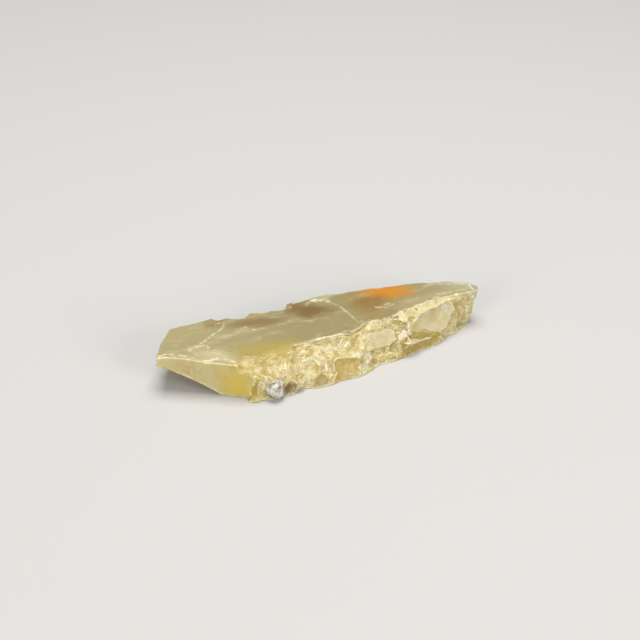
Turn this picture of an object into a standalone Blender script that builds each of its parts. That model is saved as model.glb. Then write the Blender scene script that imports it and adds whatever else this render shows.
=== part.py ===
"""Hokkaidoite slice: one piece of yellowish, translucent opal, sawn flat above and below.

The stone is shaped the way the real one was. A rough splinter is lofted from the outlines of its
two sawn faces, small flakes break up its rim, the broken surface is roughened, larger flakes with
smooth shell-like scars are struck off, both faces are sawn flat, and shallow chips spoil the
edge of the upper one. +X runs along the slice, -Y is the broken front, +Z is up, and the origin
is on the sawn base, under the middle of the stone.
"""

import math
import random
from collections import namedtuple

import bmesh
import bpy
from mathutils import Matrix, Vector

MM = 0.001

# Driving dimensions, in millimetres.
THICKNESS = 4.8  # between the two sawn faces
SAW_ALLOWANCE = 1.0  # rough stone beyond each sawn face, lost to the saw
LOFT_HEIGHTS = (-SAW_ALLOWANCE, 0.0, 1.2, 2.4, 3.6, THICKNESS, THICKNESS + SAW_ALLOWANCE)
BREAK_GRAIN = 0.22  # finest detail kept on the broken surface
TRIANGLES = 9000  # kept when the struck stone is thinned out, before the saw cuts

# The broken rim, left to right: the upper edge, the foot, and how far the rim swells between.
Station = namedtuple("Station", "top_x top_y foot_x foot_y bulge")

FRONT_RIM = (
    Station(-22.2, 0.9, -22.0, 0.8, 0.0),
    Station(-21.1, 0.4, -20.9, 0.1, 0.0),
    Station(-19.6, -0.5, -19.4, -1.0, 0.1),
    Station(-17.7, -2.1, -17.5, -2.8, 0.1),
    Station(-15.9, -3.2, -15.8, -3.8, 0.1),
    Station(-13.5, -4.95, -13.8, -5.3, 0.1),
    Station(-12.4, -4.6, -12.6, -6.3, 0.9),
    Station(-9.8, -4.1, -9.8, -7.0, 1.1),
    Station(-7.3, -3.6, -7.6, -6.9, 1.0),
    Station(-5.2, -2.8, -5.6, -6.6, 0.9),
    Station(-2.6, -2.8, -3.9, -7.0, 0.9),
    Station(-0.6, -2.8, -1.1, -6.9, 1.0),
    Station(3.2, -3.1, 2.0, -6.6, 0.9),
    Station(6.0, -2.4, 6.1, -5.2, 0.8),
    Station(9.3, -2.4, 9.5, -5.1, 0.7),
    Station(12.3, -1.9, 12.4, -4.5, 0.7),
    Station(15.9, -1.2, 15.4, -3.4, 0.6),
    Station(18.6, -0.9, 18.2, -2.2, 0.4),
    Station(20.8, -0.8, 20.6, -1.1, 0.0),
    Station(21.9, -0.8, 21.2, -0.8, -0.2),
)
BACK_RIM = (
    Station(-21.3, 2.8, -21.0, 3.2, 0.2),
    Station(-19.9, 5.0, -19.4, 5.6, 0.3),
    Station(-18.4, 7.0, -17.8, 7.5, 0.3),
    Station(-15.3, 7.25, -15.0, 7.9, 0.4),
    Station(-12.5, 7.15, -12.6, 7.9, 0.5),
    Station(-12.0, 6.3, -11.7, 7.8, 0.6),
    Station(-11.2, 6.7, -11.0, 7.8, 0.6),
    Station(-8.9, 5.75, -9.2, 7.6, 0.6),
    Station(-7.5, 6.4, -7.4, 7.5, 0.5),
    Station(-6.2, 5.7, -6.1, 7.5, 0.6),
    Station(-4.7, 5.9, -4.7, 7.5, 0.6),
    Station(-3.4, 5.4, -3.5, 7.5, 0.6),
    Station(-2.4, 6.5, -2.3, 7.6, 0.5),
    Station(-0.2, 7.0, -0.3, 7.7, 0.5),
    Station(2.0, 7.0, 2.0, 7.6, 0.5),
    Station(4.1, 6.5, 4.2, 7.2, 0.5),
    Station(8.0, 5.9, 8.0, 6.6, 0.4),
    Station(12.0, 4.9, 12.2, 5.5, 0.4),
    Station(16.0, 4.1, 16.0, 4.6, 0.3),
    Station(19.2, 3.1, 19.0, 3.5, 0.2),
    Station(21.6, 1.8, 21.1, 2.0, 0.1),
    Station(22.3, 0.3, 21.5, 0.3, 0.0),
)

# A flake scar on a rim: where its middle lies, its size along and up the rim, how deep it bites,
# how far it leans (degrees, + faces up) and how far it is rolled about its own axis (degrees).
Scar = namedtuple("Scar", "x height length rise depth lean roll", defaults=(0.0, 0.0))

FRONT_SCARS = {
    "corner_chip": Scar(-12.3, 3.3, 1.8, 1.6, 0.18, 14, 20),
    "edge_flat": Scar(-9.4, 3.6, 3.4, 2.0, 0.2, 12, 8),
    "brown_hollow": Scar(-7.5, 0.9, 1.7, 1.5, 0.45, -4, 0),
    "pale_v_left": Scar(-6.4, 2.8, 2.0, 3.0, 0.2, 6, 24),
    "pale_v_right": Scar(-4.6, 2.5, 1.8, 3.0, 0.22, 4, -22),
    "amber_low": Scar(-3.3, 0.9, 3.4, 1.9, 0.28, -12, 8),
    "amber_face": Scar(0.2, 1.7, 3.8, 3.2, 0.38, -8, 24),
    "upper_left": Scar(-1.6, 3.7, 4.6, 1.9, 0.22, 14, -8),
    "white_flat": Scar(2.7, 2.1, 1.2, 1.3, 0.18, 8, 0),
    "ridge_left": Scar(2.4, 3.4, 3.0, 2.0, 0.26, 10, 12),
    "pale_facet": Scar(6.2, 2.9, 3.8, 2.9, 0.34, 9, -12),
    "low_facet": Scar(6.2, 0.9, 3.0, 1.6, 0.24, -14, 6),
    "white_point": Scar(9.2, 2.8, 1.3, 1.9, 0.2, 0, 14),
    "yellow_shell": Scar(11.9, 0.9, 6.6, 2.6, 0.46, -16, 4),
    "grey_facet": Scar(14.1, 2.8, 6.6, 3.8, 0.42, 7, 10),
    "upper_bevel": Scar(13.0, 4.5, 8.0, 1.1, 0.16, 30, 0),
    "right_flake": Scar(17.6, 2.3, 2.6, 2.8, 0.3, 0, -12),
    "right_notch": Scar(19.6, 0.9, 3.0, 2.0, 0.5, -20, 0),
}
BACK_SCARS = {
    "back_left": Scar(-15.5, 2.6, 7.0, 5.0, 0.45, 0, 6),
    "back_middle": Scar(-6.5, 2.2, 7.5, 5.2, 0.55, -6, -8),
    "back_low": Scar(1.5, 1.4, 6.5, 3.6, 0.4, -12, 4),
    "back_high": Scar(7.0, 3.2, 6.0, 3.4, 0.35, 10, -4),
    "back_right": Scar(15.0, 2.4, 8.0, 5.0, 0.5, 0, 5),
    "edge_chips": Scar(-15.2, 4.6, 5.0, 0.9, 0.18, 34, 0),
    "end_facet": Scar(20.8, 3.6, 2.6, 3.0, 0.22, 4, 0),
}
SMALL_FLAKE_SIZES = (1.6, 3.6)
SMALL_FLAKE_STEPS = (0.45, 1.1)
SMALL_FLAKE_TOPS = {"front": 4.4, "back": 3.2}

# A flake scar anywhere: its middle, the way it faces, its size, how deep it bites, its roll, and
# how far its curve runs on, in half sizes (1 leaves a steep step all round it).
Strike = namedtuple("Strike", "middle faces length rise depth roll reach", defaults=(0.0, 1.7))

SIDE_STRIKES = {
    "left_shell": Strike((-19.0, -1.3, 3.0), (-0.548, -0.836, -0.03), 17.2, 12.0, 0.42, 0, 1.0),
    "left_undercut": Strike((-19.1, 2.2, 1.75), (-0.46, -0.06, -0.88), 13.0, 9.0, 0.35, 4),
    "right_undercut": Strike((21.1, 0.3, 0.15), (0.45, -0.2, -0.87), 4.0, 3.0, 0.15),
}
TOP_STRIKES = {
    "top_scoop": Strike((-6.0, 1.5, THICKNESS - 0.07), (0.0, -0.01, 1.0), 19.8, 13.6, 0.24, -8, 1.0),
    "left_scoop": Strike((-17.0, 5.0, THICKNESS - 0.05), (-0.01, 0.01, 1.0), 11.4, 5.9, 0.14, 38, 1.0),
    "left_bevel": Strike((-15.3, -1.9, THICKNESS), (-0.06, -0.12, 0.99), 7.2, 3.8, 0.2, -35),
    "left_end": Strike((-21.0, 3.6, THICKNESS - 0.1), (-0.7, 0.4, 0.6), 1.6, 5.0, 0.12),
    "back_bevel": Strike((1.0, 6.9, THICKNESS - 0.1), (0.0, 0.45, 0.89), 7.0, 1.4, 0.1),
}

# Lumps standing proud of the front near its foot: x, height, radii, how deep they are sunk.
Lump = namedtuple("Lump", "x height across up out sunk")
LUMPS = {
    "chalky_lump": Lump(-9.6, 1.3, 1.15, 1.05, 0.85, 0.15),
    "small_lump": Lump(-6.3, 0.75, 0.5, 0.45, 0.5, 0.1),
    "foot_bulge": Lump(-12.3, 0.45, 1.0, 0.9, 0.6, 0.3),
}


def clear_scene():
    for item in list(bpy.data.objects):
        bpy.data.objects.remove(item)


def at_height(station, height, outward_y):
    """The point of a rim station at a height: on the line from foot to upper edge, swollen outward."""
    share = height / THICKNESS
    swell = station.bulge * max(0.0, 4 * share * (1 - share))
    return Vector((
        station.foot_x + (station.top_x - station.foot_x) * share,
        station.foot_y + (station.top_y - station.foot_y) * share + outward_y * swell,
        height,
    ))


def on_rim(rim, outward_y, x, height):
    """The point of a rim at x and a height, and the rim's outward normal there."""
    row = [at_height(station, height, outward_y) for station in rim]
    above = [at_height(station, height + 0.3, outward_y) for station in rim]
    index = max(i for i in range(len(row) - 1) if i == 0 or row[i].x <= x)
    share = (x - row[index].x) / (row[index + 1].x - row[index].x)
    point = row[index].lerp(row[index + 1], share)
    along = row[index + 1] - row[index]
    up = above[index].lerp(above[index + 1], share) - point
    normal = along.cross(up).normalized()
    return point, normal if normal.y * outward_y > 0 else -normal


def new_object(name, bm, collection):
    mesh = bpy.data.meshes.new(name)
    bm.to_mesh(mesh)
    bm.free()
    made = bpy.data.objects.new(name, mesh)
    collection.objects.link(made)
    return made


def rough_splinter(collection):
    """The unsawn stone: the rim lofted past both sawn faces and capped."""
    bm = bmesh.new()
    rings = []
    for height in LOFT_HEIGHTS:
        front = [at_height(station, height, -1) for station in FRONT_RIM]
        back = [at_height(station, height, 1) for station in BACK_RIM]
        corners = [bm.verts.new(point * MM) for point in front + back[::-1]]
        rings.append([bm.edges.new(pair) for pair in zip(corners, corners[1:] + corners[:1])])
    for lower, upper in zip(rings, rings[1:]):
        bmesh.ops.bridge_loops(bm, edges=lower + upper)
    for ring in (rings[0], rings[-1]):
        bmesh.ops.edgeloop_fill(bm, edges=ring)
    bmesh.ops.recalc_face_normals(bm, faces=bm.faces[:])
    return new_object("rough_splinter", bm, collection)


def stand(bm, middle, faces, shape):
    """Shape a form modelled in millimetres about +Z, turn its +Z outward and put it in place."""
    outward = Vector(faces).normalized()
    along = Vector((-outward.y, outward.x, 0))
    along = along.normalized() if along.length > 0.2 else Vector((1, 0, 0))
    up = outward.cross(along).normalized()
    turned = Matrix((up.cross(outward), up, outward)).transposed().to_4x4()
    bm.transform(Matrix.Scale(MM, 4) @ Matrix.Translation(middle) @ turned @ shape)


def cutting_tool(name, bm, collection):
    """A form that shapes the stone and isn't part of it."""
    made = new_object(name, bm, collection)
    made.hide_render = True
    made.display_type = "WIRE"


def flake_cutter(name, strike, collection):
    """A round-nosed drill whose nose leaves one shallow flake scar."""
    half = math.sqrt(strike.length * strike.rise) / 2
    radius = (half * half + strike.depth * strike.depth) / (2 * strike.depth)
    reach = min(strike.reach * half, 0.96 * radius)
    rings = 6
    bm = bmesh.new()
    profile = []
    for ring in range(rings + 1):
        across = reach * ring / rings
        sunk = radius - math.sqrt(radius * radius - across * across) - strike.depth
        profile.append(bm.verts.new((across, 0, sunk)))
    profile.append(bm.verts.new((reach * 1.05, 0, 9.0)))
    profile.append(bm.verts.new((0, 0, 9.0)))
    edges = [bm.edges.new(pair) for pair in zip(profile, profile[1:])]
    bmesh.ops.spin(
        bm, geom=profile + edges, axis=(0, 0, 1), cent=(0, 0, 0),
        angle=math.tau, steps=26, use_merge=True,
    )
    bmesh.ops.remove_doubles(bm, verts=bm.verts[:], dist=0.0001)
    bmesh.ops.recalc_face_normals(bm, faces=bm.faces[:])
    shape = Matrix.Diagonal((strike.length / 2 / half, strike.rise / 2 / half, 1, 1))
    rolled = Matrix.Rotation(math.radians(strike.roll), 4, "Z")
    stand(bm, strike.middle, strike.faces, rolled @ shape)
    cutting_tool(name, bm, collection)


def strike_rim(name, rim, outward_y, scar, collection):
    """The cutter for a scar on the front (outward_y -1) or the back (outward_y 1)."""
    point, outward = on_rim(rim, outward_y, scar.x, scar.height)
    lean = Matrix.Rotation(math.radians(scar.lean), 3, outward.cross(Vector((0, 0, 1))))
    strike = Strike(point, lean @ outward, scar.length, scar.rise, scar.depth, scar.roll)
    flake_cutter(name, strike, collection)


def strike_rims_at_random(collection):
    """Small flakes all along both rims, always the same ones."""
    dice = random.Random(7)
    for rim, outward_y, side in ((FRONT_RIM, -1, "front"), (BACK_RIM, 1, "back")):
        x = rim[0].top_x + 1.5
        while x < rim[-1].top_x - 1.5:
            size = dice.uniform(*SMALL_FLAKE_SIZES)
            scar = Scar(
                x, dice.uniform(0.2, SMALL_FLAKE_TOPS[side]), size, size * dice.uniform(0.5, 1.0),
                size * dice.uniform(0.04, 0.11), dice.uniform(-28, 28), dice.uniform(0, 180),
            )
            strike_rim(f"{side}_flake", rim, outward_y, scar, collection)
            x += dice.uniform(*SMALL_FLAKE_STEPS)


def add_lumps(collection):
    """Rounded lumps, each sunk in the front and facing the way it faces."""
    for name, lump in LUMPS.items():
        point, outward = on_rim(FRONT_RIM, -1, lump.x, lump.height)
        bm = bmesh.new()
        bmesh.ops.create_icosphere(bm, subdivisions=3, radius=1.0)
        shape = Matrix.Diagonal((lump.across, lump.up, lump.out, 1))
        stand(bm, point - outward * lump.sunk, outward, shape)
        cutting_tool(name, bm, collection)


def boolean(target, operand, operation):
    """Cut or join every form of a collection at once."""
    step = target.modifiers.new(operation.lower(), "BOOLEAN")
    step.operation = operation
    step.solver = "EXACT"
    step.operand_type = "COLLECTION"
    step.collection = operand


def roughen(target, kind, size, depth):
    """Displace the skin by a noise of that grain size and depth, in millimetres."""
    grain = bpy.data.textures.new(f"{kind.lower()}_grain", kind)
    grain.noise_scale = size * MM
    step = target.modifiers.new(f"{kind.lower()}_grain", "DISPLACE")
    step.texture = grain
    step.texture_coords = "LOCAL"
    step.strength = depth * MM


def applied(name, source, collection):
    """A new object with the source's modifiers applied; the source goes."""
    graph = bpy.context.evaluated_depsgraph_get()
    mesh = bpy.data.meshes.new_from_object(source.evaluated_get(graph))
    bpy.data.objects.remove(source)
    made = bpy.data.objects.new(name, mesh)
    collection.objects.link(made)
    return made


def saw_flat(stone):
    """Saw both faces: the base at height zero, the upper one a slice's thickness above."""
    bm = bmesh.new()
    bm.from_mesh(stone.data)
    for height, below in ((0.0, True), (THICKNESS, False)):
        cut = bmesh.ops.bisect_plane(
            bm, geom=bm.verts[:] + bm.edges[:] + bm.faces[:], plane_co=(0, 0, height * MM),
            plane_no=(0, 0, 1), clear_inner=below, clear_outer=not below, dist=1e-7,
        )
        rim = [item for item in cut["geom_cut"] if isinstance(item, bmesh.types.BMEdge)]
        bmesh.ops.edgeloop_fill(bm, edges=rim)
    bm.to_mesh(stone.data)
    bm.free()


def centre_over_base(stone):
    """Put the origin on the sawn base, under the middle of the stone's box."""
    corners = [Vector(corner) for corner in stone.bound_box]
    low, high = corners[0], corners[6]
    stone.data.transform(Matrix.Translation((-(low.x + high.x) / 2, -(low.y + high.y) / 2, -low.z)))


def opal():
    """Pale yellow opal, waxy where broken and a little see-through."""
    made = bpy.data.materials.new("yellow_opal")
    made.use_nodes = True
    shader = made.node_tree.nodes["Principled BSDF"]
    shader.inputs["Base Color"].default_value = (0.60, 0.50, 0.25, 1.0)
    shader.inputs["Roughness"].default_value = 0.3
    shader.inputs["IOR"].default_value = 1.45
    shader.inputs["Transmission Weight"].default_value = 0.3
    return made


def main():
    clear_scene()
    groups = {}
    for name in ("hokkaidoite_slice", "lumps", "small_flakes", "large_flakes", "top_flakes"):
        groups[name] = bpy.data.collections.new(name)
        bpy.context.scene.collection.children.link(groups[name])
    stone = groups["hokkaidoite_slice"]

    body = rough_splinter(stone)
    strike_rims_at_random(groups["small_flakes"])
    add_lumps(groups["lumps"])
    boolean(body, groups["small_flakes"], "DIFFERENCE")
    boolean(body, groups["lumps"], "UNION")
    skin = body.modifiers.new("skin", "REMESH")
    skin.mode = "VOXEL"
    skin.voxel_size = BREAK_GRAIN * MM
    roughen(body, "VORONOI", 1.5, 0.3)
    roughen(body, "CLOUDS", 0.6, 0.16)
    body = applied("splinter", body, stone)

    for name, scar in FRONT_SCARS.items():
        strike_rim(name, FRONT_RIM, -1, scar, groups["large_flakes"])
    for name, scar in BACK_SCARS.items():
        strike_rim(name, BACK_RIM, 1, scar, groups["large_flakes"])
    for name, strike in SIDE_STRIKES.items():
        flake_cutter(name, strike, groups["large_flakes"])
    boolean(body, groups["large_flakes"], "DIFFERENCE")
    body = applied("splinter", body, stone)

    thin = body.modifiers.new("thin_out", "DECIMATE")
    thin.ratio = TRIANGLES / len(body.data.polygons)
    body = applied("splinter", body, stone)
    saw_flat(body)

    for name, strike in TOP_STRIKES.items():
        flake_cutter(name, strike, groups["top_flakes"])
    boolean(body, groups["top_flakes"], "DIFFERENCE")
    body = applied("slice", body, stone)
    centre_over_base(body)
    body.data.materials.clear()
    body.data.materials.append(opal())


main()
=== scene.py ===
"""Hokkaidoite slice: the finished stone with its stage, its light and its camera.

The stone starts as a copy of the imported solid. Its skin is remeshed finely, the smooth flake scars
are made true again, shards and hackles are broken out of the rough parts, and the result is
dressed as pale yellow common opal: waxy and see-through where it is sawn, glittering and whitish
where it is broken. All lengths that carry no unit in their name are in millimetres.
"""

from __future__ import annotations

import logging
import math
from dataclasses import dataclass, replace
from enum import Enum

import bmesh
import bpy
import numpy as np
from mathutils import Matrix, Vector, noise


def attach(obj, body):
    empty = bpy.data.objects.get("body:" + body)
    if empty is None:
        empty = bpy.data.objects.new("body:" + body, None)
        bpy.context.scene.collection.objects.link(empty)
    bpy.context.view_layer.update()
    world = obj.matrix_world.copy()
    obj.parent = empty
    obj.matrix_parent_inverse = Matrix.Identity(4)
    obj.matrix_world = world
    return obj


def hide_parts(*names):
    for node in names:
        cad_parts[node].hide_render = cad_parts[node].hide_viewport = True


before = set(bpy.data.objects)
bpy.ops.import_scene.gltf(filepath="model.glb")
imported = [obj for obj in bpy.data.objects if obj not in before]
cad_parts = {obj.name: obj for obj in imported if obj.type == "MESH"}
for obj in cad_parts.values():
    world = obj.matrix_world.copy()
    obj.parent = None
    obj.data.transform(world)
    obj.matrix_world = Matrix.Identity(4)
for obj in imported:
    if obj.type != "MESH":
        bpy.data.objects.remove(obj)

LOG = logging.getLogger("hokkaidoite_slice")
MM = 0.001
IMPACT_AWAY = 0.65  # from a scar's middle to its point of impact, by the scar's size
KINDS = 90.0  # facets are told apart by numbers up to this one
KIND_WEIGHTS = (7.3, 31.7, 15.1)  # they turn a scar's middle into such a number
CAP_LIMIT = 0.96  # how far out on its sphere a scar is still followed
SEAM_STEPS = 8  # points of a seam for each point of its route
SEAM_FLOOR = 3.6  # seams lie above this height
OUT_OF_REACH = 9.0  # stands for the height of a bowl that doesn't reach a point
SMOOTH = {"interpolation_type": "SMOOTHSTEP"}
MULTIPLY = {"operation": "MULTIPLY"}
COLOURS = {"data_type": "RGBA"}
MIX_SHARE, MIX_UNDER, MIX_OVER, MIX_RESULT = 0, 6, 7, 2  # the sockets of a mix of colours


def linear(hex_colour: str) -> tuple[float, float, float, float]:
    """Turn an sRGB hex colour into a linear one.

    Args:
        hex_colour: Six hex digits after a hash sign.

    Returns:
        The linear red, green, blue and an alpha of one.
    """
    channels = [int(hex_colour[start:start + 2], 16) / 255 for start in (1, 3, 5)]
    red, green, blue = (
        value / 12.92 if value <= 0.04045 else ((value + 0.055) / 1.055) ** 2.4
        for value in channels
    )
    return red, green, blue, 1.0


def add_node(
    tree: bpy.types.NodeTree,
    kind: str,
    settings: dict[str, object] | None = None,
    values: dict[object, object] | None = None,
    links: dict[object, bpy.types.NodeSocket] | None = None,
    stops: tuple[tuple[float, str], ...] = (),
) -> bpy.types.Node:
    """Add a node with its settings and links.

    Args:
        tree: The node tree it goes in.
        kind: The node's type name.
        settings: Properties of the node.
        values: Values of its inputs, by name or index.
        links: Sockets that feed its inputs, by name or index.
        stops: A colour ramp's places from 0 to 1, in rising order, with their colours.

    Returns:
        The node.
    """
    node = tree.nodes.new(kind)
    for name, value in (settings or {}).items():
        setattr(node, name, value)
    for key, value in (values or {}).items():
        node.inputs[key].default_value = value
    for key, source in (links or {}).items():
        tree.links.new(source, node.inputs[key])
    if stops:
        elements = node.color_ramp.elements
        elements[0].position = stops[0][0]
        elements[-1].position = stops[-1][0]
        for place, _ in stops[1:-1]:
            elements.new(place)
        for element, (_, hex_colour) in zip(elements, stops):
            element.color = linear(hex_colour)
    return node


class Skin(Enum):
    """What made a part of the stone's surface."""

    BROKEN = "broken"  # facets, hackles and steps
    CREST = "crest"  # thin edges, whitened partly for the milky look of thin stone and partly as painted highlight; also painted highlight lines along the rims and the base
    HOLLOW = "hollow"  # the feet of steps and other hollows, darkened with painted shade
    TONE = "tone"  # from 0, deep and clear, to 1, pale and milky, for each facet
    TINT = "tint"  # the own colour of a facet, with its strength as alpha
    SIDE = "side"  # all that isn't sawn
    CHALK = "chalk"  # the chalky lump
    RAY = "ray"  # place in a facet: round its point of impact, away from it, and which facet
    RIDGE = "ridge"  # the lines in which two shards meet
    FERN = "fern"  # where hackles spread over the sawn edge
    SEAM = "seam"  # healed cracks, wisps and bright lines in the sawn face, and one painted highlight by the arched crack


@dataclass(frozen=True)
class FlakeScar:
    """The shell-like hollow that one struck flake leaves: a cap of a stretched sphere."""

    name: str
    middle: tuple[float, float, float]
    faces: tuple[float, float, float]
    length: float
    rise: float
    depth: float
    roll: float = 0.0
    reach: float = 1.6
    tint: str = ""
    tone: float = 0.5
    sunk: float = 0.0
    blow: float = 90.0
    over: bool = False

    def rays(self, places: np.ndarray) -> np.ndarray:
        """Where points lie as seen from the point of impact, from which the hackles spread.

        Args:
            places: Points of the skin.

        Returns:
            For each point how far it is round the point of impact, how far away from it, both in
            millimetres, and a number that tells this facet from others.
        """
        local = (places - np.array(self.middle)) @ np.array(self.axes()).T
        turn = math.radians(self.blow)
        away = IMPACT_AWAY * max(self.length, self.rise)
        deep = away - local[:, 0] * math.cos(turn) - local[:, 1] * math.sin(turn)
        aside = local[:, 1] * math.cos(turn) - local[:, 0] * math.sin(turn)
        kind = sum(part * weight for part, weight in zip(self.middle, KIND_WEIGHTS)) % KINDS
        round_ = np.arctan2(aside, np.maximum(deep, 0.02)) * away
        return np.column_stack((round_, np.hypot(deep, aside), np.full(len(places), kind)))

    def axes(self) -> Matrix:
        """The scar's own axes.

        Returns:
            Rows that point along the scar, up it and out of the stone.
        """
        out = Vector(self.faces).normalized()
        along = Vector((-out.y, out.x, 0.0))
        along = along.normalized() if along.length > 0.2 else Vector((1.0, 0.0, 0.0))
        up = out.cross(along).normalized()
        turned = Matrix((up.cross(out), up, out))
        return Matrix.Rotation(math.radians(-self.roll), 3, "Z") @ turned

    def heights(self, places: np.ndarray, wander: np.ndarray) -> tuple[np.ndarray, np.ndarray]:
        """How far each point lies above the scar's surface, and how far out it is.

        Args:
            places: Points of the skin.
            wander: Small shifts of those points, which make the scar's outline uneven.

        Returns:
            The height of each point above the scar, and its distance from the middle, where 1 is
            the scar's nominal outline.
        """
        turn = np.array(self.axes())
        local = (places - np.array(self.middle)) @ turn.T
        shift = wander @ turn.T
        half = math.sqrt(self.length * self.rise) / 2
        radius = (half * half + self.depth * self.depth) / (2 * self.depth)
        across = half * np.hypot(
            2 * (local[:, 0] + shift[:, 0]) / self.length,
            2 * (local[:, 1] + shift[:, 1]) / self.rise,
        )
        bounded = np.minimum(across, CAP_LIMIT * radius)
        cap = radius - np.sqrt(radius**2 - bounded**2) - self.depth - self.sunk
        return local[:, 2] - cap, across / half


@dataclass(frozen=True)
class RimChips:
    """Small chips struck at random along the sawn edge; pairs are a least and a most value."""

    spacing: float
    size: tuple[float, float]
    depth: float
    tilt: float
    stretch: tuple[float, float]
    seed: int
    steeper: tuple[float, float] = (0.8, 1.6)
    set_in: tuple[float, float] = (0.05, 0.14)
    roll: float = 12.0
    reach: float = 1.5
    bite: float = 0.4


@dataclass(frozen=True)
class ShardLayer:
    """Hollow shards of about one size, which meet in straight and sharp ridges.

    The seed also decides which points become the middles of shards.
    """

    spacing: float
    curve: float
    tilt: float
    stretch: float
    deepest: float
    own_tone: float
    ridge_light: float
    seed: int


@dataclass(frozen=True)
class SoftZone:
    """A place where the stone's forms run into each other, with hackles over the sawn edge."""

    middle: tuple[float, float, float]
    reach: float
    rounds: int
    feather: float = 0.0
    spare: float = 0.0
    steepness: float = 1.9

    def share(self, places: np.ndarray) -> np.ndarray:
        """How far each point belongs to the zone.

        Args:
            places: Points of the skin.

        Returns:
            From 0, outside it, to 1, near its middle.
        """
        away = np.linalg.norm(places - np.array(self.middle), axis=1)
        share = np.clip((1.0 - away / self.reach) * self.steepness, 0.0, 1.0)
        return share**2 * (3.0 - 2.0 * share)


@dataclass(frozen=True)
class Seam:
    """A healed crack, a step, a wisp or a painted highlight on the upper sawn face."""

    name: str
    route: tuple[tuple[float, float], ...]
    width: float
    strength: float
    relief: float = 0.0

    def points(self) -> np.ndarray:
        """The route as a smooth row of close points.

        Returns:
            A row for each point.
        """
        ends = np.array(self.route)
        ends = np.vstack((2 * ends[0] - ends[1], ends, 2 * ends[-1] - ends[-2]))
        share = np.linspace(0.0, 1.0, SEAM_STEPS + 1)[:-1, None]
        runs = []
        for before, start, end, after in zip(ends, ends[1:], ends[2:], ends[3:]):
            runs.append(
                start + share * (end - before) / 2
                + share**2 * (2 * before - 5 * start + 4 * end - after) / 2
                + share**3 * (3 * start - before - 3 * end + after) / 2
            )
        return np.vstack((*runs, ends[-2:-1]))

    def share(self, places: np.ndarray) -> np.ndarray:
        """How far each point belongs to the seam.

        Args:
            places: Points of the skin.

        Returns:
            From 0, outside it, to 1, on its middle line; it tapers towards both ends.
        """
        line = self.points()
        result = np.zeros(len(places))
        low, high = line.min(axis=0) - self.width, line.max(axis=0) + self.width
        close = np.flatnonzero(
            (places[:, :2] > low).all(axis=1) & (places[:, :2] < high).all(axis=1)
            & (places[:, 2] > SEAM_FLOOR)
        )
        gaps = np.linalg.norm(places[close, None, :2] - line[None], axis=2)
        nearest = gaps.argmin(axis=1)
        along = nearest / (len(line) - 1)
        taper = np.clip(4 * along * (1 - along) * 2.2, 0.15, 1.0)
        result[close] = np.clip(1 - gaps.min(axis=1) / (self.width * taper), 0.0, 1.0) ** 1.5
        return result


SEAMS = (
    Seam("left_crease", ((-11.4, 5.8), (-12.0, 4.4), (-13.2, 3.6), (-14.1, 3.0), (-14.8, 2.5),
                         (-15.7, 1.8), (-16.7, 1.3), (-17.9, 0.7)), 0.3, 0.65, 0.03),
    Seam("left_patch", ((-18.3, 0.4), (-17.2, 0.9), (-16.3, 1.1), (-15.6, 0.8)), 0.55, 0.5),
    Seam("left_line", ((-21.6, 1.1), (-20.8, 1.0), (-19.8, 0.35), (-18.8, -0.45), (-17.9, -1.2)),
         0.35, 0.85, 0.02),
    Seam("left_band", ((-20.6, 0.4), (-19.0, -0.9), (-17.6, -2.0), (-16.4, -2.6)), 0.6, 0.45),
    Seam("front_line", ((-17.6, -1.9), (-16.5, -2.2), (-15.2, -2.3), (-14.3, -3.2), (-13.6, -4.3)),
         0.42, 0.85, 0.04),
    Seam("left_v", ((-17.5, 2.0), (-17.8, 0.7), (-17.4, -0.5)), 0.4, 0.4),
    Seam("right_arc", ((1.3, 5.9), (1.9, 5.4), (2.5, 4.4), (3.1, 3.5), (3.45, 2.5), (3.55, 1.5),
                       (3.66, 0.3), (3.72, -1.0), (3.85, -1.9)), 0.15, 0.9, -0.01),
    # painted highlight: a bright lens at the upper end of the arched crack
    Seam("right_lens", ((0.6, 5.7), (1.5, 5.5), (2.3, 5.0), (2.9, 4.3)), 0.55, 1.0),
    Seam("back_spot", ((-3.6, 5.6), (-2.8, 5.5), (-2.0, 5.6)), 0.5, 0.9),
    Seam("wisp_left", ((-9.6, 3.6), (-9.1, 2.8), (-8.3, 2.2), (-6.7, 2.4)), 0.26, 0.7),
    Seam("wisp_far", ((-12.9, 4.9), (-12.5, 5.4), (-11.6, 5.4)), 0.25, 0.5),
    Seam("wisp_middle", ((-2.8, 1.8), (-1.4, 1.4), (0.1, 1.3), (1.3, 0.8)), 0.2, 0.55),
    Seam("wisp_back", ((-6.2, 4.2), (-4.6, 3.9), (-3.1, 4.0)), 0.2, 0.4),
    Seam("scratch", ((7.4, 0.9), (7.9, 0.3), (8.9, 0.6), (9.8, 0.8)), 0.4, 0.6),
    Seam("scratch_low", ((8.2, -0.1), (9.2, 0.1), (10.2, 0.5)), 0.25, 0.5),
    Seam("stain_arc", ((10.6, 0.9), (11.2, 0.3), (12.3, 0.2), (13.4, 0.5), (14.4, 1.1)), 0.2, 0.4),
    Seam("far_line", ((15.4, 2.8), (16.9, 2.9), (18.4, 2.6)), 0.3, 0.45),
    Seam("end_line", ((15.6, 0.2), (17.6, 0.1), (19.4, -0.1), (20.9, 0.0)), 0.5, 0.4),
    Seam("end_back", ((16.8, 3.2), (18.6, 2.4), (20.4, 1.5), (21.4, 0.9)), 0.6, 0.45),
    Seam("end_step", ((21.5, 1.1), (21.2, 0.5), (21.1, -0.3), (21.2, -0.9)), 0.28, 0.9, 0.02),
    Seam("hatch_one", ((-16.2, -0.4), (-15.2, -1.2), (-14.2, -2.0)), 0.16, 0.4),
    Seam("hatch_two", ((-15.4, -0.2), (-14.3, -1.1), (-13.4, -2.0)), 0.16, 0.35),
    Seam("hatch_three", ((-14.4, 0.3), (-13.2, -0.9), (-12.6, -1.8)), 0.16, 0.35),
    Seam("feather_one", ((-6.9, -3.2), (-5.2, -2.9), (-3.4, -3.0), (-1.4, -3.2)), 0.18, 0.4),
)

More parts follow.
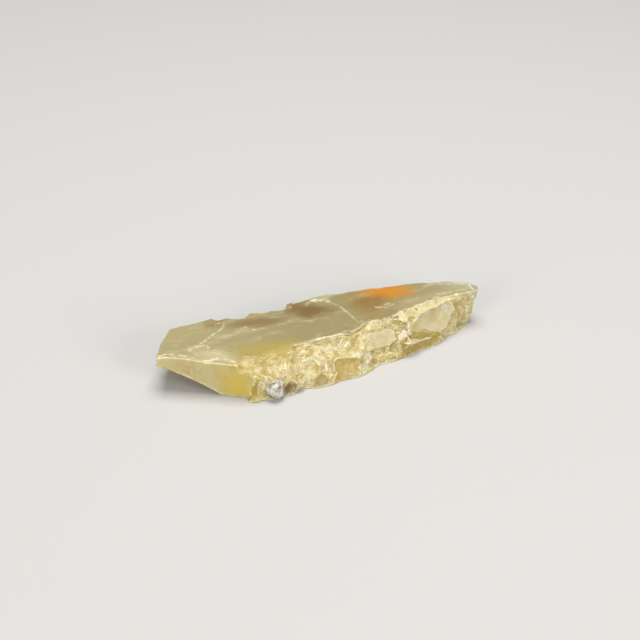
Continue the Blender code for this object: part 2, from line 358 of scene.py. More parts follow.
SHELLS = (
    FlakeScar("left_shell", (-19.07, -1.43, 3.00), (-0.548, -0.836, -0.030), 17.2, 12.0, 0.42, 0,
              1.0, "#cec192"),
    FlakeScar("left_undercut", (-19.17, 2.07, 1.75), (-0.462, -0.060, -0.885), 13.0, 9.0, 0.35, 4),
    FlakeScar("grey_facet", (13.62, -3.56, 2.42), (0.220, -0.764, 0.606), 8.4, 5.0, 0.40, 10,
              1.4, "#c6bda2"),
    FlakeScar("yellow_shell", (11.35, -4.59, 0.85), (0.170, -0.935, 0.305), 7.4, 3.6, 0.30, 0,
              1.3, "#a08a39"),
    FlakeScar("upper_bevel", (12.93, -2.05, 4.52), (0.050, -0.238, 0.970), 8.4, 1.3, 0.12, 0,
              1.4, "#dbd0a2", over=True),
)
FRONT_FACETS = (
    FlakeScar("brown_hollow", (-8.25, -7.05, 0.95), (0.300, -0.940, 0.050), 2.2, 1.8, 0.40, 0,
              1.6, "#8a7040"),
    FlakeScar("pale_v", (-5.70, -5.60, 2.75), (0.08, -0.72, 0.69), 2.6, 3.4, 0.24, 0, 1.4,
              tone=0.85, blow=-90.0),
    FlakeScar("amber_low", (-4.10, -6.84, 0.95), (0.008, -0.979, 0.205), 4.2, 2.1, 0.28, 8,
              1.6, "#a48e48"),
    FlakeScar("upper_left", (-1.67, -4.56, 3.70), (-0.008, -0.383, 0.924), 4.6, 1.9, 0.22, -8),
    FlakeScar("amber_face", (0.05, -6.50, 1.50), (0.049, -0.925, 0.370), 4.2, 4.2, 0.38, 24,
              1.6, "#b89c4c"),
    FlakeScar("white_flat", (2.63, -6.03, 2.10), (0.254, -0.752, 0.608), 1.2, 1.3, 0.18, 0,
              1.5, "#efe6dc"),
    FlakeScar("ridge_left", (2.33, -4.99, 3.40), (-0.006, -0.529, 0.848), 3.0, 2.0, 0.26, 12),
    FlakeScar("pale_facet", (6.13, -4.40, 2.90), (0.028, -0.690, 0.723), 4.4, 3.2, 0.34, -12,
              1.5, "#cbbd9c"),
    FlakeScar("low_facet", (6.13, -5.29, 0.90), (0.042, -0.998, -0.037), 3.0, 1.6, 0.24, 6,
              1.6, "#c9b46a"),
    FlakeScar("white_point", (9.13, -4.34, 2.80), (0.034, -0.819, 0.573), 1.0, 2.1, 0.2, 14,
              1.4, "#ece2d8"),
    FlakeScar("right_flake", (17.53, -2.39, 2.30), (0.319, -0.907, 0.273), 2.6, 2.8, 0.3, -12),
    FlakeScar("right_notch", (19.53, -1.68, 0.90), (0.418, -0.855, -0.306), 3.0, 2.0, 0.5, 0),
)
BACK_SCARS = (
    FlakeScar("back_left", (-15.57, 7.77, 2.60), (-0.138, 0.977, 0.165), 7.0, 5.0, 0.45, 6),
    FlakeScar("back_middle", (-6.57, 7.20, 2.20), (0.164, 0.964, 0.207), 7.5, 5.2, 0.55, -8),
    FlakeScar("back_low", (1.43, 7.72, 1.40), (0.030, 0.974, -0.226), 6.5, 3.6, 0.4, 4),
    FlakeScar("back_high", (6.93, 6.54, 3.20), (0.158, 0.886, 0.435), 6.0, 3.4, 0.35, -4),
    FlakeScar("back_right", (14.93, 4.76, 2.40), (0.235, 0.964, 0.124), 8.0, 5.0, 0.5, 5),
)
LUMP_FACES = (
    FlakeScar("lump_top", (-9.80, -7.45, 2.28), (0.16, -0.40, 0.90), 3.0, 3.0, 0.08),
    FlakeScar("lump_slope", (-10.22, -7.42, 1.95), (-0.52, -0.48, 0.70), 3.0, 3.0, 0.08),
    FlakeScar("lump_left", (-10.62, -7.50, 1.35), (-0.78, -0.60, 0.20), 3.0, 3.0, 0.08),
    FlakeScar("lump_front", (-9.60, -7.74, 1.20), (0.10, -0.98, 0.16), 3.0, 3.0, 0.08),
    FlakeScar("lump_right", (-9.02, -7.50, 1.10), (0.84, -0.52, 0.10), 3.0, 3.0, 0.08),
    FlakeScar("lump_cleft", (-10.18, -7.64, 1.55), (-0.40, -0.85, 0.33), 1.3, 0.34, 0.17, 34),
)
FOOT_SLOPE = FlakeScar("foot_slope", (-13.1, -5.9, 1.0), (-0.73, -0.66, 0.18), 3.4, 4.0, 0.12)
SOFT_ZONES = (
    SoftZone((-13.5, -5.7, 1.2), 2.3, 80),
    SoftZone((-12.3, -5.4, 4.2), 2.2, 80, 0.7),
    SoftZone((-9.8, -5.3, 4.2), 2.7, 120, 0.8),
    SoftZone((-7.2, -4.8, 4.2), 2.5, 80, 0.7),
    SoftZone((-4.6, -4.4, 4.2), 1.8, 30, 0.4),
    SoftZone((2.7, -3.1, 4.5), 1.3, 60),
    SoftZone((21.7, -0.2, 4.3), 1.8, 16, 0.0, 0.95),
)
ROUGH_FACETS = tuple(scar for scar in FRONT_FACETS if not scar.tint)
CLEAN_SCARS = BACK_SCARS + tuple(scar for scar in FRONT_FACETS if scar.tint) + SHELLS


class SkinMesh:
    """The stone's skin as arrays: its points, its edges, and smoothing along them."""

    def __init__(self, mesh: bpy.types.Mesh) -> None:
        """Read the mesh.

        Args:
            mesh: The mesh, in metres.
        """
        self.mesh = mesh
        count = len(mesh.vertices)
        flat = np.empty(count * 3, dtype=np.float32)
        mesh.vertices.foreach_get("co", flat)
        self.places = flat.reshape(-1, 3).astype(np.float64) / MM
        ends = np.empty(len(mesh.edges) * 2, dtype=np.int32)
        mesh.edges.foreach_get("vertices", ends)
        self.ends = ends.reshape(-1, 2)
        self.valence = np.bincount(self.ends.ravel(), minlength=count).astype(np.float64)

    def averaged(self, values: np.ndarray, rounds: int = 1) -> np.ndarray:
        """Blend each point's value with its neighbours'.

        Args:
            values: One number or one row for each point.
            rounds: How many times.

        Returns:
            The blended values.
        """
        first, second = self.ends.T
        result = values.astype(np.float64)
        columns = result if result.ndim == 2 else result[:, None]
        for _ in range(rounds):
            blended = np.empty_like(columns)
            for axis in range(columns.shape[1]):
                column = columns[:, axis]
                total = np.bincount(first, column[second], len(column))
                total += np.bincount(second, column[first], len(column))
                blended[:, axis] = 0.5 * column + 0.5 * total / self.valence
            columns = blended
        return columns if result.ndim == 2 else columns[:, 0]

    def outward(self, rounds: int = 0) -> np.ndarray:
        """The unit normals of the points as they now stand.

        Args:
            rounds: How often they are blended with their neighbours.

        Returns:
            A row for each point.
        """
        self.write()
        flat = np.empty(len(self.mesh.vertices) * 3, dtype=np.float32)
        self.mesh.vertices.foreach_get("normal", flat)
        normals = self.averaged(flat.reshape(-1, 3), rounds)
        return normals / np.maximum(np.linalg.norm(normals, axis=1, keepdims=True), 1e-9)

    def write(self) -> None:
        """Put the points back into the mesh."""
        flat = (self.places * MM).astype(np.float32).ravel()
        self.mesh.vertices.foreach_set("co", flat)
        self.mesh.update()

    def store(self, skin: Skin, values: np.ndarray) -> None:
        """Keep a value or a colour of each point as an attribute that the finish reads.

        Args:
            skin: What the value says.
            values: One number from 0 to 1, or one row of red, green, blue and alpha, for each point.
        """
        if skin is Skin.RAY:
            layer = self.mesh.attributes.new(skin.value, "FLOAT_VECTOR", "POINT")
            layer.data.foreach_set("vector", values.astype(np.float32).ravel())
            return
        bounded = np.clip(values, 0.0, 1.0).astype(np.float32)
        if bounded.ndim == 2:
            layer = self.mesh.attributes.new(skin.value, "FLOAT_COLOR", "POINT")
            layer.data.foreach_set("color", bounded.ravel())
        else:
            layer = self.mesh.attributes.new(skin.value, "FLOAT", "POINT")
            layer.data.foreach_set("value", bounded)

    def stored(self, skin: Skin) -> np.ndarray:
        """Read back the values that were stored.

        Args:
            skin: What the values say.

        Returns:
            A value for each point, or a row for each where they are colours.
        """
        layer = self.mesh.attributes[skin.value]
        wide = layer.data_type == "FLOAT_COLOR"
        flat = np.empty(len(self.mesh.vertices) * (4 if wide else 1), dtype=np.float32)
        layer.data.foreach_get("color" if wide else "value", flat)
        return flat.reshape(-1, 4) if wide else flat


@dataclass
class OpalSlice:
    """The stone: one sawn and broken piece of common opal."""

    node: str = "slice"
    thickness: float = 4.8
    skin_step: float = 0.09
    most_faces: int = 190000
    top_share: float = 0.66
    rim_chips: RimChips = RimChips(0.9, (0.5, 1.3), 0.08, 0.16, (1.3, 2.4), 21)
    coarse_shards: ShardLayer = ShardLayer(1.6, 0.13, 0.14, 1.5, 0.28, 1.0, 0.35, 3)
    fine_shards: tuple[ShardLayer, ...] = (
        ShardLayer(0.85, 0.26, 0.17, 2.0, 0.13, 0.35, 0.65, 5),
        ShardLayer(0.45, 0.36, 0.20, 2.2, 0.06, 0.2, 0.45, 8),
    )
    whole_rims: tuple[tuple[float, float], ...] = ((-13.8, -4.6), (2.1, 4.7), (20.4, 23.0))
    fern_root: tuple[float, float, float] = (-10.8, -6.8, 0.4)
    fern_middle: tuple[float, float] = (-9.0, -8.2)
    fern_width: float = 3.2
    fan: float = 2.4
    ridge_width: float = 0.13
    lump_middle: tuple[float, float, float] = (-9.75, -7.30, 1.35)
    lump_size: tuple[float, float, float] = (1.3, 1.1, 1.25)
    chalk_bits: tuple[tuple[tuple[float, float, float], float], ...] = (
        ((-7.6, -6.9, 0.75), 0.27), ((-6.75, -6.85, 1.0), 0.34),
    )
    core: float = 0.72  # how much of a clean scar the fine shards spare
    bite: float = 0.3  # how deep a scar cuts before it gives way
    lip: float = 0.16  # how far under a clean scar the skin is still filled up to it
    sunk: float = 0.16  # how far scars are set into the shattered skin
    deepest: float = 0.34  # how deep the rough facets cut in all
    facing: float = 0.35  # how squarely a point has to face a scar that cuts it
    fade: float = 0.12  # over which share of its size a scar runs out at its edge
    tint_strength: float = 0.8
    margin: float = 1.2
    long: float = 8.0  # scars from this length on stay whole
    step: float = 0.12  # how far the skin steps down at the arched crack
    step_edge: float = 3.66
    least_rays: float = 1.5  # smaller scars and shards have no hackles of their own
    shard_reach: float = 2.5
    chunk: int = 500  # how many points are set against the shards at a time

    def build(self) -> bpy.types.Object:
        """Make the finished stone and dress it.

        Returns:
            The stone's object, riding and standing for its solid.
        """
        stone = self.fine_copy()
        skin = SkinMesh(stone.data)
        self.knap(skin)
        skin.write()
        self.seal_base(stone)
        skin = SkinMesh(stone.data)
        self.mark_edges(skin)
        behind = (skin.places[:, 1] > 3.0) & (skin.places[:, 2] < self.thickness - 0.4)
        behind &= skin.places[:, 2] > 0.3
        self.thin_out(stone, behind, self.most_faces / len(stone.data.polygons))
        for polygon in stone.data.polygons:
            polygon.use_smooth = True
        stone.data.name = "opal_slice"
        stone.data.materials.clear()
        stone.data.materials.append(OpalFinish().build())
        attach(stone, "root")
        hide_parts(self.node)
        LOG.info("stone: %d faces", len(stone.data.polygons))
        return stone

    def fine_copy(self) -> bpy.types.Object:
        """Copy the solid, merge its doubles and give it a fine, even skin.

        Returns:
            The copy.
        """
        bm = bmesh.new()
        bm.from_mesh(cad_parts[self.node].data)
        bmesh.ops.remove_doubles(bm, verts=bm.verts[:], dist=1e-7)
        mesh = bpy.data.meshes.new("opal_slice")
        bm.to_mesh(mesh)
        bm.free()
        stone = bpy.data.objects.new("opal_slice", mesh)
        bpy.context.scene.collection.objects.link(stone)
        remesh = stone.modifiers.new("fine_skin", "REMESH")
        remesh.mode = "VOXEL"
        remesh.voxel_size = self.skin_step * MM
        graph = bpy.context.evaluated_depsgraph_get()
        fine = bpy.data.meshes.new_from_object(stone.evaluated_get(graph))
        stone.modifiers.clear()
        stone.data = fine
        bpy.data.meshes.remove(mesh)
        self.thin_out(stone, self.plain_top(SkinMesh(stone.data)), self.top_share)
        return stone

    def thin_out(self, stone: bpy.types.Object, chosen: np.ndarray, kept: float) -> None:
        """Take points out of plain parts, which need few.

        Args:
            stone: The stone, which is changed.
            chosen: Which points may go.
            kept: The share of the faces that stay.
        """
        group = stone.vertex_groups.new(name="plain")
        group.add(np.flatnonzero(chosen).tolist(), 1.0, "REPLACE")
        thinner = stone.modifiers.new("thinner", "DECIMATE")
        thinner.vertex_group = group.name
        thinner.ratio = kept
        graph = bpy.context.evaluated_depsgraph_get()
        thin = bpy.data.meshes.new_from_object(stone.evaluated_get(graph))
        stone.modifiers.clear()
        dense, stone.data = stone.data, thin
        stone.vertex_groups.clear()
        bpy.data.meshes.remove(dense)

    def plain_top(self, skin: SkinMesh) -> np.ndarray:
        """Find the points well inside a sawn face and clear of its seams.

        Args:
            skin: The stone's skin.

        Returns:
            Yes or no for each point.
        """
        plain = skin.averaged(self.sawn_share(skin), 9) > 0.97
        for crack in SEAMS:
            wide = replace(crack, width=crack.width + 0.25)
            plain &= wide.share(skin.places) == 0.0
        return plain

    def sawn_share(self, skin: SkinMesh) -> np.ndarray:
        """How far each point belongs to one of the two sawn faces.

        Args:
            skin: The stone's skin.

        Returns:
            From 0 to 1 for each point.
        """
        normals = skin.outward(2)
        high = (skin.places[:, 2] > self.thickness - 0.7) & (normals[:, 2] > 0.93)
        low = (skin.places[:, 2] < 0.03) & (normals[:, 2] < -0.93)
        return np.clip(skin.averaged((high | low).astype(float), 3) * 1.5 - 0.4, 0.0, 1.0)

    def knap(self, skin: SkinMesh) -> None:
        """Strike the facets and the shells out of the broken parts, and keep their colours.

        Args:
            skin: The stone's skin, which is changed.
        """
        self.lengthen_step(skin)
        sawn = self.sawn_share(skin)
        self.calm(skin, sawn)
        feather, whole = self.soften(skin)
        seam = self.draw_seams(skin, sawn)
        self.begin(skin, sawn)
        spared = np.clip(np.maximum(1.0 - 1.3 * sawn, feather - 0.3), 0.0, 1.0)
        chalk = self.chalk_share(skin.places)
        skin.places += (chalk * self.crusty(skin.places))[:, None] * self.faces
        lifted = self.clear_of_base(skin, 0.03, 0.35)
        for scar in LUMP_FACES:
            self.strike(skin, scar, chalk * lifted, False, 1.0)
        spared *= (1.0 - chalk) * (1.0 - whole) * lifted
        self.strike(skin, FOOT_SLOPE, 1.0 - sawn * (skin.places[:, 2] > 1.0), False, 1.0)
        self.strike_rim(skin, sawn)
        rough = spared * np.clip(1.0 - 1.6 * feather, 0.0, 1.0)
        self.shatter(skin, self.coarse_shards, self.spare_cores(skin, rough, 0.0))
        for scar in ROUGH_FACETS:
            self.strike(skin, replace(scar, sunk=self.sunk), spared, False, self.bite)
        for scar in CLEAN_SCARS:
            sunk = self.sunk if scar.tint and scar.length < self.long else 0.0
            free = lifted if scar.over else spared
            if scar in BACK_SCARS:
                below_rim = self.thickness - 0.1 - skin.places[:, 2]
                free = spared * np.clip(2.0 * below_rim, 0.0, 1.0)
            self.strike(skin, replace(scar, sunk=sunk), free, True, self.bite)
        for layer in self.fine_shards:
            self.shatter(skin, layer, self.spare_cores(skin, spared, self.core))
        np.clip(skin.places[:, 2], 0.0, self.thickness, out=skin.places[:, 2])
        tint = skin.averaged(self.tint)
        tint[:, :3] /= np.maximum(tint[:, 3:], 0.01)
        for mark, values in {
            Skin.TONE: skin.averaged(self.tone),
            Skin.TINT: tint,
            Skin.RAY: self.rays,
            Skin.RIDGE: self.ridge,
            Skin.FERN: feather,
            Skin.CHALK: chalk,
            Skin.SEAM: seam,
            Skin.SIDE: np.maximum(1.0 - sawn, feather),
            Skin.BROKEN: np.maximum(1.0 - skin.averaged(self.smooth), 0.6 * feather),
        }.items():
            skin.store(mark, values)

    @staticmethod
    def clear_of_base(skin: SkinMesh, start: float, rise: float) -> np.ndarray:
        """How far each point is clear of the sawn base, from 0 at the start to 1 after the rise."""
        return np.clip((skin.places[:, 2] - start) / rise, 0.0, 1.0)

    def calm(self, skin: SkinMesh, sawn: np.ndarray) -> None:
        """Take the solid's own grain out of the sawn top and the broken sides.

        Args:
            skin: The stone's skin, which is changed.
            sawn: How far each point belongs to a sawn face.
        """
        calm = skin.averaged(skin.places, 12)
        high = (sawn * (skin.places[:, 2] > 1.0))[:, None]
        skin.places += high * (calm - skin.places)
        calm = skin.averaged(skin.places, 7)
        broken = ((1.0 - sawn) * self.clear_of_base(skin, 0.05, 0.4))[:, None]
        skin.places += broken * (calm - skin.places)

    def soften(self, skin: SkinMesh) -> tuple[np.ndarray, np.ndarray]:
        """Ease the places where the stone's forms run into each other.

        Args:
            skin: The stone's skin, which is changed.

        Returns:
            How far hackles spread over the sawn edge at each point, and how far it is spared.
        """
        feather = np.zeros(len(skin.places))
        whole = np.zeros(len(skin.places))
        lifted = self.clear_of_base(skin, 0.05, 0.4)
        for zone in SOFT_ZONES:
            share = zone.share(skin.places)
            feather = np.maximum(feather, zone.feather * share)
            whole = np.maximum(whole, zone.spare * share)
            calm = skin.averaged(skin.places, zone.rounds)
            skin.places += (share * lifted)[:, None] * (calm - skin.places)
        return feather, whole

    def draw_seams(self, skin: SkinMesh, sawn: np.ndarray) -> np.ndarray:
        """Raise or sink the seams of the sawn top.

        Args:
            skin: The stone's skin, which is changed.
            sawn: How far each point belongs to a sawn face.

        Returns:
            How bright a seam each point lies on.
        """
        seam = np.zeros(len(skin.places))
        for crack in SEAMS:
            share = crack.share(skin.places) * sawn
            skin.places[:, 2] += crack.relief * share
            seam = np.maximum(seam, share * crack.strength)
        return seam

    def begin(self, skin: SkinMesh, sawn: np.ndarray) -> None:
        """Note how the skin stands before the first strike, and what each strike will change.

        Args:
            skin: The stone's skin.
            sawn: How far each point belongs to a sawn face.
        """
        self.start = skin.places.copy()
        self.faces = skin.outward(10)
        self.wander = self.uneven(skin.places)
        self.order = np.argsort(skin.places[:, 0])
        self.along = skin.places[self.order, 0]
        self.tone = np.full(len(skin.places), 0.5)
        self.ridge = np.zeros(len(skin.places))
        self.tint = np.zeros((len(skin.places), 4))
        away = self.start[:, :2] - self.fern_middle
        self.rays = np.column_stack((
            self.fern_width * np.arctan2(away[:, 0], away[:, 1]), np.linalg.norm(away, axis=1),
            0.3 * self.start[:, 2],
        ))
        self.smooth = sawn.copy()

    def lengthen_step(self, skin: SkinMesh) -> None:
        """Lead the low side of the arched crack right up to the crack's end at the rim.

        Args:
            skin: The stone's skin, which is changed.
        """
        across, deep, high = skin.places.T
        near = (np.abs(deep + 1.6) < 2.0) & (np.abs(across - 2.75) < 1.25)
        near &= high > self.thickness - 0.3
        low = self.step * np.clip((self.step_edge + 0.05 * deep**2 - across) / 0.25, 0.0, 1.0)
        skin.places[near, 2] = np.minimum(high, self.thickness - low)[near]
        skin.places[near] = skin.averaged(skin.places, 4)[near]

    def spare_cores(self, skin: SkinMesh, spared: np.ndarray, core: float) -> np.ndarray:
        """Keep the middles of the clean scars from being struck again.

        Args:
            skin: The stone's skin.
            spared: How deep each point may be cut.
            core: How much of each scar is kept, where 1 is all of it.

        Returns:
            How deep each point may be cut now.
        """
        result = spared.copy()
        for scar in CLEAN_SCARS:
            height, out = scar.heights(skin.places, self.wander)
            facing = self.faces @ np.array(scar.axes()[2])
            share = core if scar.length < self.long and not scar.over else 0.97
            kept = (np.abs(height) < 0.4) & (out < share * min(scar.reach, 1.2)) & (facing > 0.6)
            result[kept] = 0.0
        return skin.averaged(result, 2)

    def uneven(self, places: np.ndarray) -> np.ndarray:
        """Small smooth shifts that make every facet's outline uneven.

        Args:
            places: Points of the skin.

        Returns:
            A shift for each point.
        """
        dice = np.random.default_rng(12)
        shifts = np.zeros_like(places)
        for wave_length, size in ((2.6, 0.12), (1.2, 0.08), (0.6, 0.04)):
            for _ in range(5):
                way = dice.normal(size=3)
                way *= 2 * math.pi / (wave_length * np.linalg.norm(way))
                phase = dice.uniform(0, 2 * math.pi, 3)
                shifts += size * np.sin((places @ way)[:, None] + phase)
        return shifts

    def crusty(self, places: np.ndarray) -> np.ndarray:
        """The lumps and clefts of the chalky crust.

        Args:
            places: Points of the skin.

        Returns:
            How far each point stands out of the crust, or lies in it.
        """
        crust = np.zeros(len(places))
        for index, place in enumerate(places):
            if abs(place[0] + 9.69) < 2 and place[1] < -5.5 and place[2] < 3.2:  # by the lump
                spot = Vector(place)
                near = noise.voronoi(spot * 0.75 + Vector((3.1, 0.4, 7.7)))[0]
                crust[index] = 0.30 * (near[1] - near[0]) - 0.12
                crust[index] += 0.06 * noise.fractal(spot * 2.2, 1.0, 2.0, 3)
        return crust

    def chalk_share(self, places: np.ndarray) -> np.ndarray:
        """How far each point belongs to the chalky lump or one of the bits near it.

        Args:
            places: Points of the skin.

        Returns:
            From 0 to 1 for each point.
        """
        lump = (places - np.array(self.lump_middle)) / np.array(self.lump_size)
        blocky = (np.abs(lump + 0.35 * self.wander) ** 2.6).sum(axis=1) ** (1 / 2.6)
        share = np.clip((1.12 - blocky) / 0.2, 0.0, 1.0)
        for middle, reach in self.chalk_bits:
            away = np.linalg.norm(places - np.array(middle), axis=1)
            share = np.maximum(share, np.clip((reach - away) / 0.15, 0.0, 1.0))
        return share

    def strike(
        self, skin: SkinMesh, scar: FlakeScar, spared: np.ndarray, clean: bool, bite: float
    ) -> None:
        """Cut one scar into the skin.

        Args:
            skin: The stone's skin, which is changed.
            scar: The scar.
            spared: How deep each point may be cut, from 0 for not at all.
            clean: Whether the scar also fills the low points in it, and so comes out smooth.
            bite: How deep it cuts before it gives way.
        """
        reach = scar.reach * max(scar.length, scar.rise) / 2 + bite
        span = (scar.middle[0] - reach - self.margin, scar.middle[0] + reach + self.margin)
        near = self.order[slice(*np.searchsorted(self.along, span))]
        close = near[np.abs(skin.places[near] - np.array(scar.middle)).max(axis=1) < reach]
        axis = np.array(scar.axes()[2])
        close = close[self.faces[close] @ axis > self.facing]
        height, out = scar.heights(skin.places[close], self.wander[close])
        inside = (out < scar.reach) & (height < 3 * bite)
        close, height = close[inside], height[inside]
        over = np.maximum(height - bite, 0.0)
        cut = np.where(height < bite, height, bite * np.exp(-over / bite * 2))
        floor = -self.lip if clean else 0.0
        filled = np.minimum(0.0, 2 * floor - height) if clean else 0.0
        cut = np.where(height > floor, cut, filled) * spared[close]
        cut *= np.clip((scar.reach - out[inside]) / self.fade, 0.0, 1.0)
        if not clean and bite < 1.0:
            depth = np.einsum("ij,ij->i", self.start[close] - skin.places[close], self.faces[close])
            cut = np.minimum(cut, np.maximum(self.deepest - depth, 0.0))
        skin.places[close] -= cut[:, None] * axis
        struck = close[(height > 1.5 * floor) & (height < bite * 1.2) & (spared[close] > 0.3)]
        self.tone[struck] = scar.tone
        self.ridge[struck] = 0.0
        if max(scar.length, scar.rise) > self.least_rays:
            self.rays[struck] = scar.rays(self.start[struck])
        strength = self.tint_strength
        own = np.array((*linear(scar.tint)[:3], 1.0)) * strength if scar.tint else np.zeros(4)
        self.tint[struck] = own
        self.smooth[struck] = 1.0 if clean else 0.0

    def strike_rim(self, skin: SkinMesh, sawn: np.ndarray) -> None:
        """Chip the edge between the upper sawn face and the broken sides.

        Args:
            skin: The stone's skin, which is changed.
            sawn: How far each point belongs to a sawn face.
        """
        chips = self.rim_chips
        dice = np.random.default_rng(chips.seed)
        edge = skin.averaged(sawn, 4)
        behind = self.faces[:, 1] > 0.1
        open_ = ~behind | (np.abs(self.start[:, 0] + 5.0) < 7.0)
        for low, high in self.whole_rims:
            open_ &= behind | (self.start[:, 0] < low) | (self.start[:, 0] > high)
        band = np.flatnonzero((np.abs(edge - 0.5) < 0.12) & (self.start[:, 2] > 3.2) & open_)
        count = int(len(band) * self.skin_step / (4 * chips.spacing))
        free = np.clip(skin.averaged(1.0 - sawn, 10) * 4.0, 0.0, 1.0)
        free *= self.start[:, 2] > 1.0
        for index in dice.choice(band, count, replace=False):
            size = dice.uniform(*chips.size)
            faces = self.faces[index] + dice.normal(0.0, chips.tilt, 3)
            faces[2] = abs(faces[2]) * dice.uniform(*chips.steeper)
            place = self.start[index] - self.faces[index] * dice.uniform(*chips.set_in) * size
            stretch = dice.uniform(*chips.stretch)
            scar = FlakeScar(
                "rim_chip", tuple(place), tuple(faces), 2 * size * stretch, 2 * size / stretch,
                chips.depth * size, dice.uniform(-chips.roll, chips.roll), chips.reach,
                tone=float(np.clip(dice.normal(0.6, 0.2), 0.0, 1.0)), blow=dice.choice((0, 180)),
            )
            self.strike(skin, scar, free, False, chips.bite * size)

    def shatter(self, skin: SkinMesh, layer: ShardLayer, spared: np.ndarray) -> None:
        """Break a layer of shards out of the rough parts.

        Every shard leaves a shallow bowl. Where two bowls meet the deeper one counts, which gives
        straight and sharp ridges.

        Args:
            skin: The stone's skin, which is changed.
            layer: The shards.
            spared: How deep each point may be cut.
        """
        dice = np.random.default_rng(layer.seed)
        rough = self.order[spared[self.order] > 0.05]
        count = int(len(rough) * self.skin_step**2 / layer.spacing**2)
        chosen = dice.choice(rough, count, replace=False)
        middles, facing = self.start[chosen], self.faces[chosen]
        lean = dice.normal(0.0, layer.tilt, (count, 3))
        grain = np.array([self.grain_at(index, dice) for index in chosen])
        tones = np.clip(dice.normal(0.5, 0.27, count), 0.0, 1.0)
        kinds = dice.uniform(0.0, KINDS, count)
        reach = self.shard_reach * layer.spacing
        moved = self.start + 0.5 * self.wander
        level = np.full(len(moved), OUT_OF_REACH)
        gap = np.full(len(moved), OUT_OF_REACH)
        won = np.zeros(len(moved), dtype=int)
        for chunk in np.array_split(rough, len(rough) // self.chunk + 1):
            low, high = self.start[chunk[0], 0] - reach, self.start[chunk[-1], 0] + reach
            near = np.flatnonzero((middles[:, 0] > low) & (middles[:, 0] < high))
            away = moved[chunk, None] - middles[near]
            run = np.einsum("ijk,jk->ij", away, grain[near])
            square = (away**2).sum(axis=2)
            bowl = layer.curve * (square - (1.0 - layer.stretch**-2) * run**2)
            bowl += np.einsum("ijk,jk->ij", away, lean[near])
            bowl[(square > reach**2) | (self.faces[chunk] @ facing[near].T < 0.2)] = OUT_OF_REACH
            best = bowl.argmin(axis=1)
            rows = np.arange(len(chunk))
            level[chunk] = bowl[rows, best]
            won[chunk] = near[best]
            bowl[rows, best] = OUT_OF_REACH
            after = bowl.argmin(axis=1)
            alike = 0.25 - np.abs(tones[near[after]] - tones[near[best]])
            gap[chunk] = bowl[rows, after] - level[chunk]
            gap[chunk] += 0.3 * np.maximum(alike, 0.0)  # shards of one tone meet in a faint line
        broken = rough[level[rough] < 0.5 * OUT_OF_REACH]
        ridge = np.percentile(level[broken], 96)
        cut = np.clip(ridge - level[broken], 0.0, layer.deepest) * spared[broken]
        skin.places[broken] -= cut[:, None] * self.faces[broken]
        struck = broken[spared[broken] > 0.5]
        shard = won[struck]
        light = 1.0 - gap[struck] / (2.0 * layer.curve * layer.spacing * self.ridge_width)
        self.ridge[struck] = np.maximum(
            0.8 * self.ridge[struck], layer.ridge_light * np.clip(light, 0.0, 1.0)
        )
        self.tone[struck] += layer.own_tone * (tones[shard] - self.tone[struck])
        self.tint[struck] = 0.0
        self.smooth[struck] = 0.0
        if layer.spacing > self.least_rays:
            away = moved[struck] - middles[shard]
            deep = (away * grain[shard]).sum(axis=1)
            aside = (away * np.cross(grain[shard], facing[shard])).sum(axis=1)
            aside *= self.fan / np.maximum(self.fan + deep, 0.5)
            self.rays[struck] = np.column_stack((aside, deep, kinds[shard]))

    def grain_at(self, index: int, dice: np.random.Generator) -> np.ndarray:
        """Which way the hackles of a shard run.

        Args:
            index: The skin's point in the middle of the shard.
            dice: What decides.

        Returns:
            The direction: along the upper edge near it, else up and down, and at the left end
            away from the foot, so that they spread like a fern.
        """
        place, faces = self.start[index], self.faces[index]
        if place[0] < -6.5 and place[1] < 0.0:
            way = place - np.array(self.fern_root)
        elif place[2] > 0.62 * self.thickness:
            way = np.array((1.0, 0.2, 0.1))
        else:
            way = np.array((0.2, 0.0, 1.0))
        way = way / max(np.linalg.norm(way), 0.1) + dice.normal(0.0, 0.28, 3)
        way -= (way @ faces) * faces
        return way / max(np.linalg.norm(way), 0.1)

    def seal_base(self, stone: bpy.types.Object) -> None:
        """Make the sawn base one flat face again.

        Args:
            stone: The finished stone.
        """
        bm = bmesh.new()
        bm.from_mesh(stone.data)
        flat = [face for face in bm.faces if all(v.co.z < 2e-6 for v in face.verts)]
        bmesh.ops.dissolve_faces(bm, faces=flat, use_verts=True)
        bmesh.ops.triangulate(bm, faces=bm.faces[:])
        bm.to_mesh(stone.data)
        bm.free()

    def mark_edges(self, skin: SkinMesh) -> None:
        """Store where the skin has thin edges, whitened later partly as painted highlight, with
        painted highlight lines along the rims and the base, and where it has the feet of steps,
        darkened later as painted shade.

        Args:
            skin: The finished skin.
        """
        normals = skin.outward(1)
        bulge = np.einsum("ij,ij->i", skin.places - skin.averaged(skin.places, 2), normals)
        sharp = bulge - 0.85 * skin.averaged(np.maximum(bulge, 0.0), 3)
        # thin edges, whitened partly for their milky look and partly as painted highlight
        crest = np.clip((sharp - 0.002) / 0.009, 0.0, 1.0)
        high = skin.places[:, 2] > self.thickness - 0.6
        crest *= 1.0 - np.clip(1.6 * skin.stored(Skin.FERN), 0.0, 0.9) * high
        own = skin.stored(Skin.TINT)[:, 3] / self.tint_strength
        side = skin.stored(Skin.SIDE)
        # painted highlight: a bright line along the foot of the sides
        foot = np.clip(1.0 - skin.places[:, 2] / 0.2, 0.0, 1.0) * (side > 0.4)
        # painted highlight: a bright line along the upper rim, where hackles don't spread over it
        rim = 4.0 * side * (1.0 - side) * high
        rim *= skin.averaged(skin.stored(Skin.FERN), 12) < 0.03
